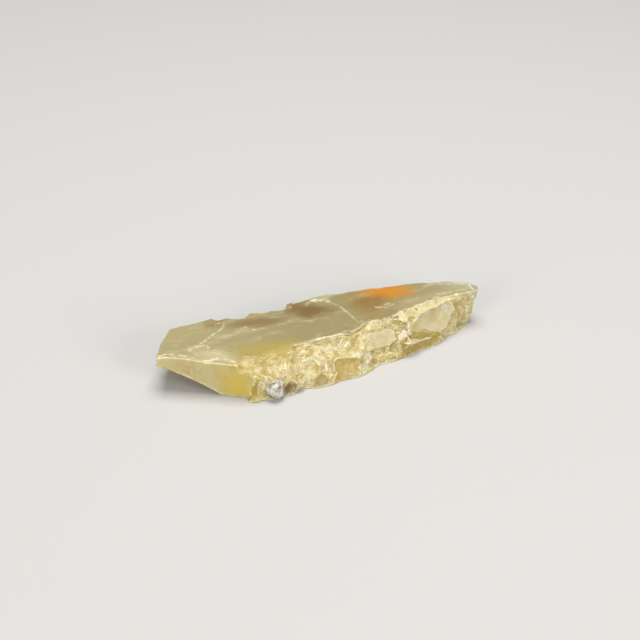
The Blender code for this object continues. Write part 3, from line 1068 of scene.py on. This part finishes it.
        # painted highlight: a bright line along the back rim
        back_rim_highlight = 5.0 * side * (skin.places[:, 2] > self.thickness - 0.25)
        back_rim_highlight *= normals[:, 1] > 0.2
        for line, strength in (
            (4.0 * own * (1.0 - own), 0.65),
            (skin.stored(Skin.RIDGE), 1.0),
            (foot, 0.8),
            (rim, 0.45),
            (back_rim_highlight, 0.6),
        ):
            crest = np.maximum(crest, strength * np.clip(line, 0.0, 1.0))
        skin.store(Skin.CREST, crest)
        # how concave each point is; the finish darkens these hollows with painted shade
        skin.store(Skin.HOLLOW, (-bulge - 0.004) / 0.02)


@dataclass(frozen=True)
class Cloud:
    """A soft-edged body of colour in the stone."""

    middle: tuple[float, float, float]
    radii: tuple[float, float, float]
    colour: str
    strength: float
    turn: float = 0.0
    softness: float = 0.6


@dataclass(frozen=True)
class Shards:
    """Shards of one size in the broken parts, with whitish cracks between them."""

    size: float
    stretch: float
    tilt: float
    line: float
    bright: float
    lean: float


@dataclass(frozen=True)
class Hackles:
    """Fine ridges that run away from a point of impact; the first two are waves per millimetre."""

    across: float
    along: float
    thin: float
    bright: float


@dataclass(frozen=True)
class Canvas:
    """A finish under way: its nodes, the places in the stone and the marks on its skin."""

    tree: bpy.types.NodeTree
    mm: bpy.types.NodeSocket
    stirred: bpy.types.NodeSocket
    marks: dict[Skin, bpy.types.Node]

    def mark(self, skin: Skin, output: str = "Fac") -> bpy.types.NodeSocket:
        """What a mark says at a place."""
        return self.marks[skin].outputs[output]

    def patches(
        self,
        noise_values: dict[str, float],
        span: tuple[float, float],
        least: float = 0.0,
        most: float = 1.0,
    ) -> bpy.types.NodeSocket:
        """Uneven patches with soft edges.

        Args:
            noise_values: Scale, detail and roughness of the noise behind them.
            span: Where in the noise a patch begins, and where it is full.
            least: The value outside the patches.
            most: The value in them.

        Returns:
            The value.
        """
        grain = add_node(
            self.tree, "ShaderNodeTexNoise", None, noise_values, {"Vector": self.mm}
        )
        spread = add_node(
            self.tree, "ShaderNodeMapRange", SMOOTH,
            {"From Min": span[0], "From Max": span[1], "To Min": least, "To Max": most},
            {"Value": grain.outputs["Fac"]},
        )
        return spread.outputs[0]


@dataclass(frozen=True)
class OpalFinish:
    """Common opal: a hydrous silica with no grain.

    Sawn and struck faces are waxy to glassy, the body is milky and see-through for a few
    millimetres, and every thin or shattered edge scatters light and looks cream white; on thin
    edges, rims and the base that white is also partly painted highlight, and hollows get painted
    shade.
    """

    body: tuple[tuple[float, str], ...] = (
        (0.12, "#a99c6f"), (0.42, "#9a8d5f"), (0.58, "#9a8d5f"), (0.64, "#9a8554"),
        (0.95, "#9f966c"),
    )
    body_ends: tuple[float, float] = (-22.0, 22.0)
    streak: str = "#d8cda6"
    broken: tuple[tuple[float, str], ...] = (
        (0.30, "#ad9752"), (0.5, "#baa45c"), (0.70, "#c7b780"),
    )
    # grey and white of the chalky crust; its darkest stop is also reached as painted shade in the
    # lump's clefts
    crust: tuple[tuple[float, str], ...] = (
        (0.34, "#6f6757"), (0.45, "#b5ad9c"), (0.58, "#dbd5c9"),
    )
    # cream white of cracks, hackles and seams, and of thin edges, rims and the base, where it is
    # partly painted highlight
    crest: str = "#f4ecc9"
    # painted shade: a deeper yellow laid into hollows and the feet of steps
    hollow: str = "#a98b45"
    inside: str = "#d9c26a"
    inside_density: float = 140.0
    sawn_roughness: float = 0.33
    broken_roughness: float = 0.2
    relief: float = 0.3
    shards: tuple[Shards, ...] = (
        Shards(2.3, 1.6, 0.30, 0.032, 0.9, 0.7),
        Shards(1.1, 2.0, -0.50, 0.045, 0.6, 0.4),
    )
    hackles: tuple[Hackles, ...] = (
        Hackles(0.50, 0.05, 0.080, 1.0),
        Hackles(1.10, 0.10, 0.100, 0.8),
        Hackles(2.20, 0.20, 0.130, 0.6),
    )
    clouds: tuple[Cloud, ...] = (
        Cloud((10.9, 3.6, 4.6), (3.3, 1.9, 0.9), "#c9861a", 1.0, -14, 0.45),
        Cloud((-8.0, 3.9, 4.6), (3.4, 1.0, 0.9), "#806335", 0.7, -6),
        Cloud((-0.6, 3.9, 4.6), (3.3, 1.4, 0.9), "#775a27", 0.85, -35),
        Cloud((7.4, 1.9, 4.6), (2.6, 1.6, 0.9), "#8e6826", 0.75, 0),
        Cloud((-12.6, 5.6, 4.6), (1.3, 1.0, 0.9), "#886d3c", 0.7, 0),
        Cloud((-9.4, -2.9, 4.4), (4.2, 2.0, 1.5), "#b39c4c", 0.85, -8),
        Cloud((-14.0, -5.0, 1.8), (2.4, 2.2, 2.4), "#d3ba58", 0.9, 0),
        Cloud((-12.6, -6.7, 0.9), (1.5, 1.3, 1.5), "#d0c070", 0.55, 0),
        Cloud((-8.2, -7.1, 0.8), (1.1, 1.2, 0.8), "#80653a", 0.9, 0, 0.4),
        Cloud((20.6, 1.2, 4.6), (2.4, 1.5, 1.2), "#b5b096", 0.6, -20),
        Cloud((22.0, -0.3, 4.4), (1.0, 1.2, 1.2), "#a8a586", 0.6, 0),
        Cloud((-15.6, -1.6, 4.6), (2.6, 1.5, 0.8), "#c2b78c", 0.7, -35),
        Cloud((2.2, 6.6, 4.6), (2.8, 0.8, 1.2), "#bdb08a", 0.7, -8),
        Cloud((14.9, 0.2, 4.6), (5.0, 0.9, 1.0), "#b3a57c", 0.6, 8),
    )

    def build(self) -> bpy.types.Material:
        """The finish as a material.

        Returns:
            The material.
        """
        made = bpy.data.materials.new("common_opal_sawn_and_broken")
        made.use_nodes = True
        tree = made.node_tree
        shader = tree.nodes["Principled BSDF"]
        shader.subsurface_method = "RANDOM_WALK"
        for name, value in {
            "Subsurface Weight": 0.5,
            "Subsurface Radius": (1.0, 0.85, 0.5),
            "Subsurface Scale": MM,
            "IOR": 1.45,
            "Transmission Weight": 0.25,
            "Specular IOR Level": 0.4,
        }.items():
            shader.inputs[name].default_value = value
        canvas = self.prepare(tree)
        cracks, lean, shade = self.shattered(canvas)
        colour = self.broken_colour(canvas, self.body_colour(canvas), cracks, shade)
        for cloud in self.clouds:
            colour = self.add_cloud(canvas, colour, cloud)
        colour = self.chalk(canvas, self.edge_light(canvas, colour))
        polish = add_node(
            tree, "ShaderNodeMapRange", None,
            {"To Min": self.sawn_roughness, "To Max": self.broken_roughness},
            {"Value": canvas.mark(Skin.BROKEN)},
        )
        absorb = add_node(
            tree, "ShaderNodeVolumeAbsorption", None,
            {"Color": linear(self.inside), "Density": self.inside_density},
        )
        tree.links.new(colour, shader.inputs["Base Color"])
        tree.links.new(polish.outputs[0], shader.inputs["Roughness"])
        tree.links.new(self.relief_normal(canvas, cracks, lean), shader.inputs["Normal"])
        tree.links.new(absorb.outputs[0], tree.nodes["Material Output"].inputs["Volume"])
        return made

    def prepare(self, tree: bpy.types.NodeTree) -> Canvas:
        """Lay out the places in millimetres, the same places stirred, and the skin's marks.

        Args:
            tree: The material's nodes.

        Returns:
            What the colours are laid on.
        """
        coords = add_node(tree, "ShaderNodeTexCoord")
        mm = add_node(
            tree, "ShaderNodeMapping", {"vector_type": "POINT"},
            {"Scale": (1 / MM, 1 / MM, 1 / MM)}, {"Vector": coords.outputs["Object"]},
        )
        stir = add_node(
            tree, "ShaderNodeTexNoise", None, {"Scale": 0.45, "Detail": 4.0, "Roughness": 0.6},
            {"Vector": mm.outputs[0]},
        )
        offset = add_node(
            tree, "ShaderNodeVectorMath", {"operation": "MULTIPLY_ADD"},
            {1: (2.6, 2.6, 2.6), 2: (-1.3, -1.3, -1.3)}, {0: stir.outputs["Color"]},
        )
        stirred = add_node(
            tree, "ShaderNodeVectorMath", {"operation": "ADD"}, None,
            {0: mm.outputs[0], 1: offset.outputs[0]},
        )
        marks = {
            skin: add_node(tree, "ShaderNodeAttribute", {"attribute_name": skin.value})
            for skin in Skin if skin not in (Skin.RIDGE, Skin.FERN)
        }
        return Canvas(tree, mm.outputs[0], stirred.outputs[0], marks)

    def relief_normal(
        self, canvas: Canvas, cracks: bpy.types.NodeSocket, lean: bpy.types.NodeSocket
    ) -> bpy.types.NodeSocket:
        """Relief that is too fine for the mesh, on all that isn't sawn.

        Args:
            canvas: The finish under way.
            cracks: How far a place is on a crack.
            lean: The relief of the leaning shards.

        Returns:
            The normal.
        """
        tree = canvas.tree
        grain = add_node(
            tree, "ShaderNodeTexNoise", None, {"Scale": 3.2, "Detail": 5.0, "Roughness": 0.65},
            {"Vector": canvas.mm},
        )
        summed = add_node(
            tree, "ShaderNodeMath", {"operation": "MULTIPLY_ADD"}, {1: 0.25},
            {0: grain.outputs["Fac"], 2: lean},
        )
        ridged = add_node(
            tree, "ShaderNodeMath", {"operation": "MULTIPLY_ADD"}, {1: 0.3},
            {0: cracks, 2: summed.outputs[0]},
        )
        felt = add_node(
            tree, "ShaderNodeMapRange", None, {"To Min": 0.3, "To Max": 1.0},
            {"Value": canvas.mark(Skin.BROKEN)},
        )
        only = add_node(
            tree, "ShaderNodeMath", MULTIPLY, None,
            {0: felt.outputs[0], 1: canvas.mark(Skin.SIDE)},
        )
        height = add_node(
            tree, "ShaderNodeMath", MULTIPLY, None, {0: ridged.outputs[0], 1: only.outputs[0]}
        )
        bump = add_node(
            tree, "ShaderNodeBump", None, {"Strength": 0.8, "Distance": self.relief * MM},
            {"Height": height.outputs[0]},
        )
        return bump.outputs[0]

    def shattered(
        self, canvas: Canvas
    ) -> tuple[bpy.types.NodeSocket, bpy.types.NodeSocket, bpy.types.NodeSocket]:
        """The shards that are too small for the mesh.

        Args:
            canvas: The finish under way.

        Returns:
            How far a place is on a crack, the relief in which every shard leans its own way, and
            the shards' shades from 0 to 1.
        """
        tree = canvas.tree
        curl = add_node(
            tree, "ShaderNodeTexNoise", None, {"Scale": 0.5, "Detail": 3.0, "Roughness": 0.6},
            {"Vector": canvas.mm},
        )
        bent = add_node(
            tree, "ShaderNodeVectorMath", {"operation": "MULTIPLY_ADD"}, {1: (2.4, 2.4, 2.4)},
            {0: curl.outputs["Color"], 2: canvas.mm},
        )
        totals = {}
        for layer in self.shards:
            lying = add_node(
                tree, "ShaderNodeMapping", {"vector_type": "TEXTURE"},
                {
                    "Rotation": (0.0, -layer.tilt, 0.0),
                    "Scale": (layer.size * layer.stretch, layer.size, layer.size),
                },
                {"Vector": bent.outputs[0]},
            )
            cells, gap = (
                add_node(
                    tree, "ShaderNodeTexVoronoi", {"feature": feature}, {"Scale": 1.0},
                    {"Vector": lying.outputs[0]},
                )
                for feature in ("F1", "DISTANCE_TO_EDGE")
            )
            across = add_node(
                tree, "ShaderNodeVectorMath", {"operation": "SUBTRACT"}, None,
                {0: lying.outputs[0], 1: cells.outputs["Position"]},
            )
            leaning = add_node(
                tree, "ShaderNodeVectorMath", {"operation": "SUBTRACT"}, {1: (0.5, 0.5, 0.5)},
                {0: cells.outputs["Color"]},
            )
            lean = add_node(
                tree, "ShaderNodeVectorMath", {"operation": "DOT_PRODUCT"}, None,
                {0: across.outputs[0], 1: leaning.outputs[0]},
            )
            sized = add_node(
                tree, "ShaderNodeMath", MULTIPLY, {1: layer.lean * layer.size},
                {0: lean.outputs["Value"]},
            )
            split = add_node(
                tree, "ShaderNodeSeparateColor", None, None, {0: cells.outputs["Color"]}
            )
            line = add_node(
                tree, "ShaderNodeMapRange", SMOOTH,
                {"From Max": 2.0 * layer.line, "To Min": layer.bright, "To Max": 0.0},
                {"Value": gap.outputs["Distance"]},
            )
            spots = canvas.patches({"Scale": 0.9 / layer.size, "Detail": 2.0}, (0.40, 0.60))
            seen = add_node(
                tree, "ShaderNodeMath", MULTIPLY, None, {0: line.outputs[0], 1: spots}
            )
            for name, operation, made in (
                ("cracks", "MAXIMUM", seen), ("lean", "ADD", sized), ("shade", "ADD", split)
            ):
                socket = made.outputs[0]
                if name in totals:
                    joined = add_node(
                        tree, "ShaderNodeMath", {"operation": operation}, None,
                        {0: totals[name], 1: socket},
                    )
                    socket = joined.outputs[0]
                totals[name] = socket
        shade = add_node(
            tree, "ShaderNodeMath", {"operation": "DIVIDE"}, {1: float(len(self.shards))},
            {0: totals["shade"]},
        )
        return totals["cracks"], totals["lean"], shade.outputs[0]

    def body_colour(self, canvas: Canvas) -> bpy.types.NodeSocket:
        """The milky body: paler to the left, browner to the right, with faint streaks.

        Args:
            canvas: The finish under way.

        Returns:
            The colour.
        """
        tree = canvas.tree
        split = add_node(tree, "ShaderNodeSeparateXYZ", None, None, {0: canvas.stirred})
        along = add_node(
            tree, "ShaderNodeMapRange", None,
            {"From Min": self.body_ends[0], "From Max": self.body_ends[1]},
            {"Value": split.outputs[0]},
        )
        ramp = add_node(
            tree, "ShaderNodeValToRGB", None, None, {0: along.outputs[0]}, self.body
        )
        lying = add_node(
            tree, "ShaderNodeMapping", {"vector_type": "POINT"},
            {"Scale": (0.16, 0.8, 1.0), "Rotation": (0.0, 0.0, 0.12)},
            {"Vector": canvas.stirred},
        )
        streaks = add_node(
            tree, "ShaderNodeTexNoise", None, {"Scale": 1.0, "Detail": 6.0, "Roughness": 0.62},
            {"Vector": lying.outputs[0]},
        )
        faint = add_node(
            tree, "ShaderNodeMapRange", SMOOTH,
            {"From Min": 0.50, "From Max": 0.74, "To Max": 0.5},
            {"Value": streaks.outputs["Fac"]},
        )
        mixed = add_node(
            tree, "ShaderNodeMix", COLOURS, {MIX_OVER: linear(self.streak)},
            {MIX_SHARE: faint.outputs[0], MIX_UNDER: ramp.outputs[0]},
        )
        return mixed.outputs[MIX_RESULT]

    def broken_colour(
        self,
        canvas: Canvas,
        under: bpy.types.NodeSocket,
        cracks: bpy.types.NodeSocket,
        shade: bpy.types.NodeSocket,
    ) -> bpy.types.NodeSocket:
        """Deeper yellow where the stone is broken, and painted shade, a still deeper yellow, in the
        hollows at the feet of steps.

        Args:
            canvas: The finish under way.
            under: The colour so far.
            cracks: How far a place is on a crack.
            shade: The shards' shades.

        Returns:
            The colour.
        """
        tree = canvas.tree
        blotch = add_node(
            tree, "ShaderNodeTexNoise", None, {"Scale": 0.5, "Detail": 2.0, "Roughness": 0.5},
            {"Vector": canvas.mm},
        )
        tone = blotch.outputs["Fac"]
        for weight, other in ((0.6, canvas.mark(Skin.TONE)), (0.2, shade)):
            blend = add_node(
                tree, "ShaderNodeMix", {"data_type": "FLOAT"}, {0: weight}, {2: tone, 3: other}
            )
            tone = blend.outputs[0]
        ramp = add_node(tree, "ShaderNodeValToRGB", None, None, {0: tone}, self.broken)
        cloudy = add_node(
            tree, "ShaderNodeMapRange", SMOOTH,
            {"From Min": 0.36, "From Max": 0.58, "To Min": 0.45, "To Max": 1.0},
            {"Value": blotch.outputs["Fac"]},
        )
        strength = add_node(
            tree, "ShaderNodeMath", MULTIPLY, None,
            {0: canvas.mark(Skin.TINT, "Alpha"), 1: cloudy.outputs[0]},
        )
        colour = under
        for share, over in (
            (canvas.mark(Skin.SIDE), ramp.outputs[0]),
            (strength.outputs[0], canvas.mark(Skin.TINT, "Color")),
        ):
            mixed = add_node(
                tree, "ShaderNodeMix", COLOURS, None,
                {MIX_SHARE: share, MIX_UNDER: colour, MIX_OVER: over},
            )
            colour = mixed.outputs[MIX_RESULT]
        # painted shade: deeper yellow in the hollows
        hollow_shade = add_node(
            tree, "ShaderNodeMath", MULTIPLY, {1: 0.35}, {0: canvas.mark(Skin.HOLLOW)}
        )
        mixed = add_node(
            tree, "ShaderNodeMix", COLOURS, {MIX_OVER: linear(self.hollow)},
            {MIX_SHARE: hollow_shade.outputs[0], MIX_UNDER: self.hackled(canvas, colour, cracks)},
        )
        return mixed.outputs[MIX_RESULT]

    def hackled(
        self, canvas: Canvas, under: bpy.types.NodeSocket, cracks: bpy.types.NodeSocket
    ) -> bpy.types.NodeSocket:
        """Fine whitish ridges and cracks over the broken parts.

        Args:
            canvas: The finish under way.
            under: The colour so far.
            cracks: How far a place is on a crack.

        Returns:
            The colour.
        """
        tree = canvas.tree
        sway = add_node(
            tree, "ShaderNodeTexNoise", None, {"Scale": 0.8, "Detail": 1.0},
            {"Vector": canvas.mm},
        )
        bent = add_node(
            tree, "ShaderNodeVectorMath", {"operation": "MULTIPLY_ADD"}, {1: (0.5, 0.5, 0.0)},
            {0: sway.outputs["Color"], 2: canvas.mark(Skin.RAY, "Vector")},
        )
        total = None
        for layer in self.hackles:
            lying = add_node(
                tree, "ShaderNodeMapping", {"vector_type": "POINT"},
                {"Scale": (layer.across, layer.along, 1.0)}, {"Vector": bent.outputs[0]},
            )
            grain = add_node(
                tree, "ShaderNodeTexNoise", None, {"Scale": 1.0, "Detail": 0.0},
                {"Vector": lying.outputs[0]},
            )
            waves = add_node(tree, "ShaderNodeMath", MULTIPLY, {1: 4.0}, {0: grain.outputs["Fac"]})
            folded = add_node(
                tree, "ShaderNodeMath", {"operation": "PINGPONG"}, {1: 0.5},
                {0: waves.outputs[0]},
            )
            line = add_node(
                tree, "ShaderNodeMapRange", SMOOTH,
                {"From Min": 0.0, "From Max": 2.2 * layer.thin, "To Min": layer.bright,
                 "To Max": 0.0},
                {"Value": folded.outputs[0]},
            )
            spots = canvas.patches({"Scale": 0.8 * layer.across, "Detail": 2.0}, (0.42, 0.60))
            seen = add_node(
                tree, "ShaderNodeMath", MULTIPLY, None, {0: line.outputs[0], 1: spots}
            )
            total = seen if total is None else add_node(
                tree, "ShaderNodeMath", {"operation": "MAXIMUM"}, None,
                {0: total.outputs[0], 1: seen.outputs[0]},
            )
        patch = canvas.patches(
            {"Scale": 0.9, "Detail": 3.0, "Roughness": 0.6}, (0.38, 0.62), 0.15
        )
        shown = add_node(
            tree, "ShaderNodeMath", MULTIPLY, None, {0: total.outputs[0], 1: patch}
        )
        shown = add_node(
            tree, "ShaderNodeMath", {"operation": "MAXIMUM"}, None,
            {0: shown.outputs[0], 1: cracks},
        )
        where = add_node(
            tree, "ShaderNodeMapRange", None, {"To Min": 0.2, "To Max": 1.0},
            {"Value": canvas.mark(Skin.BROKEN)},
        )
        only = add_node(
            tree, "ShaderNodeMath", MULTIPLY, None,
            {0: where.outputs[0], 1: canvas.mark(Skin.SIDE)},
        )
        share = add_node(
            tree, "ShaderNodeMath", MULTIPLY, None, {0: shown.outputs[0], 1: only.outputs[0]}
        )
        mixed = add_node(
            tree, "ShaderNodeMix", COLOURS, {MIX_OVER: linear(self.crest)},
            {MIX_SHARE: share.outputs[0], MIX_UNDER: under},
        )
        return mixed.outputs[MIX_RESULT]

    def add_cloud(
        self, canvas: Canvas, under: bpy.types.NodeSocket, cloud: Cloud
    ) -> bpy.types.NodeSocket:
        """Lay one cloud of colour into the stone.

        Args:
            canvas: The finish under way.
            under: The colour so far.
            cloud: The cloud.

        Returns:
            The colour.
        """
        tree = canvas.tree
        local = add_node(
            tree, "ShaderNodeMapping", {"vector_type": "TEXTURE"},
            {
                "Location": cloud.middle,
                "Rotation": (0.0, 0.0, math.radians(cloud.turn)),
                "Scale": cloud.radii,
            },
            {"Vector": canvas.stirred},
        )
        reach = add_node(
            tree, "ShaderNodeVectorMath", {"operation": "LENGTH"}, None, {0: local.outputs[0]}
        )
        share = add_node(
            tree, "ShaderNodeMapRange", SMOOTH,
            {
                "From Min": 1.0 - cloud.softness,
                "From Max": 1.0 + cloud.softness,
                "To Min": cloud.strength,
                "To Max": 0.0,
            },
            {"Value": reach.outputs["Value"]},
        )
        mixed = add_node(
            tree, "ShaderNodeMix", COLOURS, {MIX_OVER: linear(cloud.colour)},
            {MIX_SHARE: share.outputs[0], MIX_UNDER: under},
        )
        return mixed.outputs[MIX_RESULT]

    def chalk(self, canvas: Canvas, under: bpy.types.NodeSocket) -> bpy.types.NodeSocket:
        """Cover the lump with chalky white and grey crust, with painted shade darkening its clefts.

        Args:
            canvas: The finish under way.
            under: The colour so far.

        Returns:
            The colour.
        """
        tree = canvas.tree
        crust = add_node(
            tree, "ShaderNodeTexNoise", None, {"Scale": 1.2, "Detail": 4.0, "Roughness": 0.65},
            {"Vector": canvas.mm},
        )
        # painted shade: the lump's hollows push the crust towards its darkest grey
        cleft = add_node(
            tree, "ShaderNodeMath", {"operation": "MAXIMUM"}, {1: 0.0},
            {0: canvas.mark(Skin.HOLLOW)},
        )
        cleft_shade = add_node(
            tree, "ShaderNodeMath", {"operation": "MULTIPLY_ADD"}, {1: -0.16},
            {0: cleft.outputs[0], 2: crust.outputs["Fac"]},
        )
        ramp = add_node(
            tree, "ShaderNodeValToRGB", None, None, {0: cleft_shade.outputs[0]}, self.crust
        )
        mixed = add_node(
            tree, "ShaderNodeMix", COLOURS, None,
            {MIX_SHARE: canvas.mark(Skin.CHALK), MIX_UNDER: under, MIX_OVER: ramp.outputs[0]},
        )
        return mixed.outputs[MIX_RESULT]

    def edge_light(self, canvas: Canvas, under: bpy.types.NodeSocket) -> bpy.types.NodeSocket:
        """Whiten thin edges and seams. On thin edges the white is partly the milky scatter of thin
        stone and partly painted highlight; along the rims and the base it is painted highlight.

        Args:
            canvas: The finish under way.
            under: The colour so far.

        Returns:
            The colour.
        """
        tree = canvas.tree
        patch = canvas.patches(
            {"Scale": 1.1, "Detail": 3.0, "Roughness": 0.6}, (0.38, 0.60), 0.15, 0.9
        )
        worn = canvas.patches(
            {"Scale": 1.7, "Detail": 4.0, "Roughness": 0.7}, (0.38, 0.60), 0.08, 1.15
        )
        edge, crack = (
            add_node(
                tree, "ShaderNodeMath", MULTIPLY, None, {0: canvas.mark(skin), 1: shown}
            )
            for skin, shown in ((Skin.CREST, patch), (Skin.SEAM, worn))
        )
        share = add_node(
            tree, "ShaderNodeMath", {"operation": "MAXIMUM", "use_clamp": True}, None,
            {0: edge.outputs[0], 1: crack.outputs[0]},
        )
        mixed = add_node(
            tree, "ShaderNodeMix", COLOURS, {MIX_OVER: linear(self.crest)},
            {MIX_SHARE: share.outputs[0], MIX_UNDER: under},
        )
        return mixed.outputs[MIX_RESULT]


@dataclass(frozen=True)
class SoftBox:
    """A studio light: a glowing panel turned at the stone."""

    name: str
    place: tuple[float, float, float]
    size: float
    watts: float
    colour: str = "#ffffff"

    def build(self) -> None:
        """Hang the panel."""
        lamp = bpy.data.lights.new(self.name, "AREA")
        lamp.shape = "SQUARE"
        lamp.size = self.size * MM
        lamp.energy = self.watts
        lamp.color = linear(self.colour)[:3]
        panel = bpy.data.objects.new(self.name, lamp)
        bpy.context.scene.collection.objects.link(panel)
        panel.location = Vector(self.place) * MM
        panel.rotation_euler = (-panel.location).to_track_quat("-Z", "Y").to_euler()


@dataclass(frozen=True)
class Studio:
    """A pale table, an even sky, the lights and the camera."""

    table: str = "#b4b2ae"
    sky: str = "#e9ebee"
    sky_strength: float = 0.42
    lights: tuple[SoftBox, ...] = (
        SoftBox("key", (30.0, 60.0, 380.0), 260.0, 1.7),
        SoftBox("left_fill", (-330.0, -190.0, 150.0), 180.0, 0.75),
        SoftBox("front_fill", (110.0, -330.0, 130.0), 160.0, 0.85),
    )
    camera_azimuth: float = -25.0
    camera_elevation: float = 30.0
    camera_distance: float = 200.0
    camera_aim: tuple[float, float, float] = (3.129, 8.168, 0.0)
    lens: float = 85.0

    def build(self) -> None:
        """Set the stage round the stone."""
        bm = bmesh.new()
        bmesh.ops.create_grid(bm, x_segments=1, y_segments=1, size=2.0)
        mesh = bpy.data.meshes.new("table")
        bm.to_mesh(mesh)
        bm.free()
        table = bpy.data.objects.new("table", mesh)
        bpy.context.scene.collection.objects.link(table)
        table.location.z = -0.00002
        paper = bpy.data.materials.new("matt_paper")
        paper.use_nodes = True
        shader = paper.node_tree.nodes["Principled BSDF"]
        shader.inputs["Base Color"].default_value = linear(self.table)
        shader.inputs["Roughness"].default_value = 0.9
        mesh.materials.append(paper)
        world = bpy.data.worlds.new("even_sky")
        world.use_nodes = True
        background = world.node_tree.nodes["Background"]
        background.inputs["Color"].default_value = linear(self.sky)
        background.inputs["Strength"].default_value = self.sky_strength
        bpy.context.scene.world = world
        for light in self.lights:
            light.build()
        self.place_camera()

    def place_camera(self) -> None:
        """Look at the stone from its front left."""
        lens = bpy.data.cameras.new("camera")
        lens.lens, lens.sensor_width = self.lens, 36.0
        lens.clip_start = 0.005
        camera = bpy.data.objects.new("camera", lens)
        bpy.context.scene.collection.objects.link(camera)
        turn, tilt = math.radians(self.camera_azimuth), math.radians(self.camera_elevation)
        back = Vector((
            math.sin(turn) * math.cos(tilt), -math.cos(turn) * math.cos(tilt), math.sin(tilt)
        ))
        camera.location = (Vector(self.camera_aim) + back * self.camera_distance) * MM
        camera.rotation_euler = back.to_track_quat("Z", "Y").to_euler()
        bpy.context.scene.camera = camera


def main() -> None:
    """Build the stone, then the studio."""
    logging.basicConfig(level=logging.INFO, format="%(name)s: %(message)s")
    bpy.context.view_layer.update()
    OpalSlice().build()
    Studio().build()
    bpy.context.scene.view_settings.view_transform = "Standard"
    LOG.info("sizes kept")


if __name__ == "__main__":
    main()
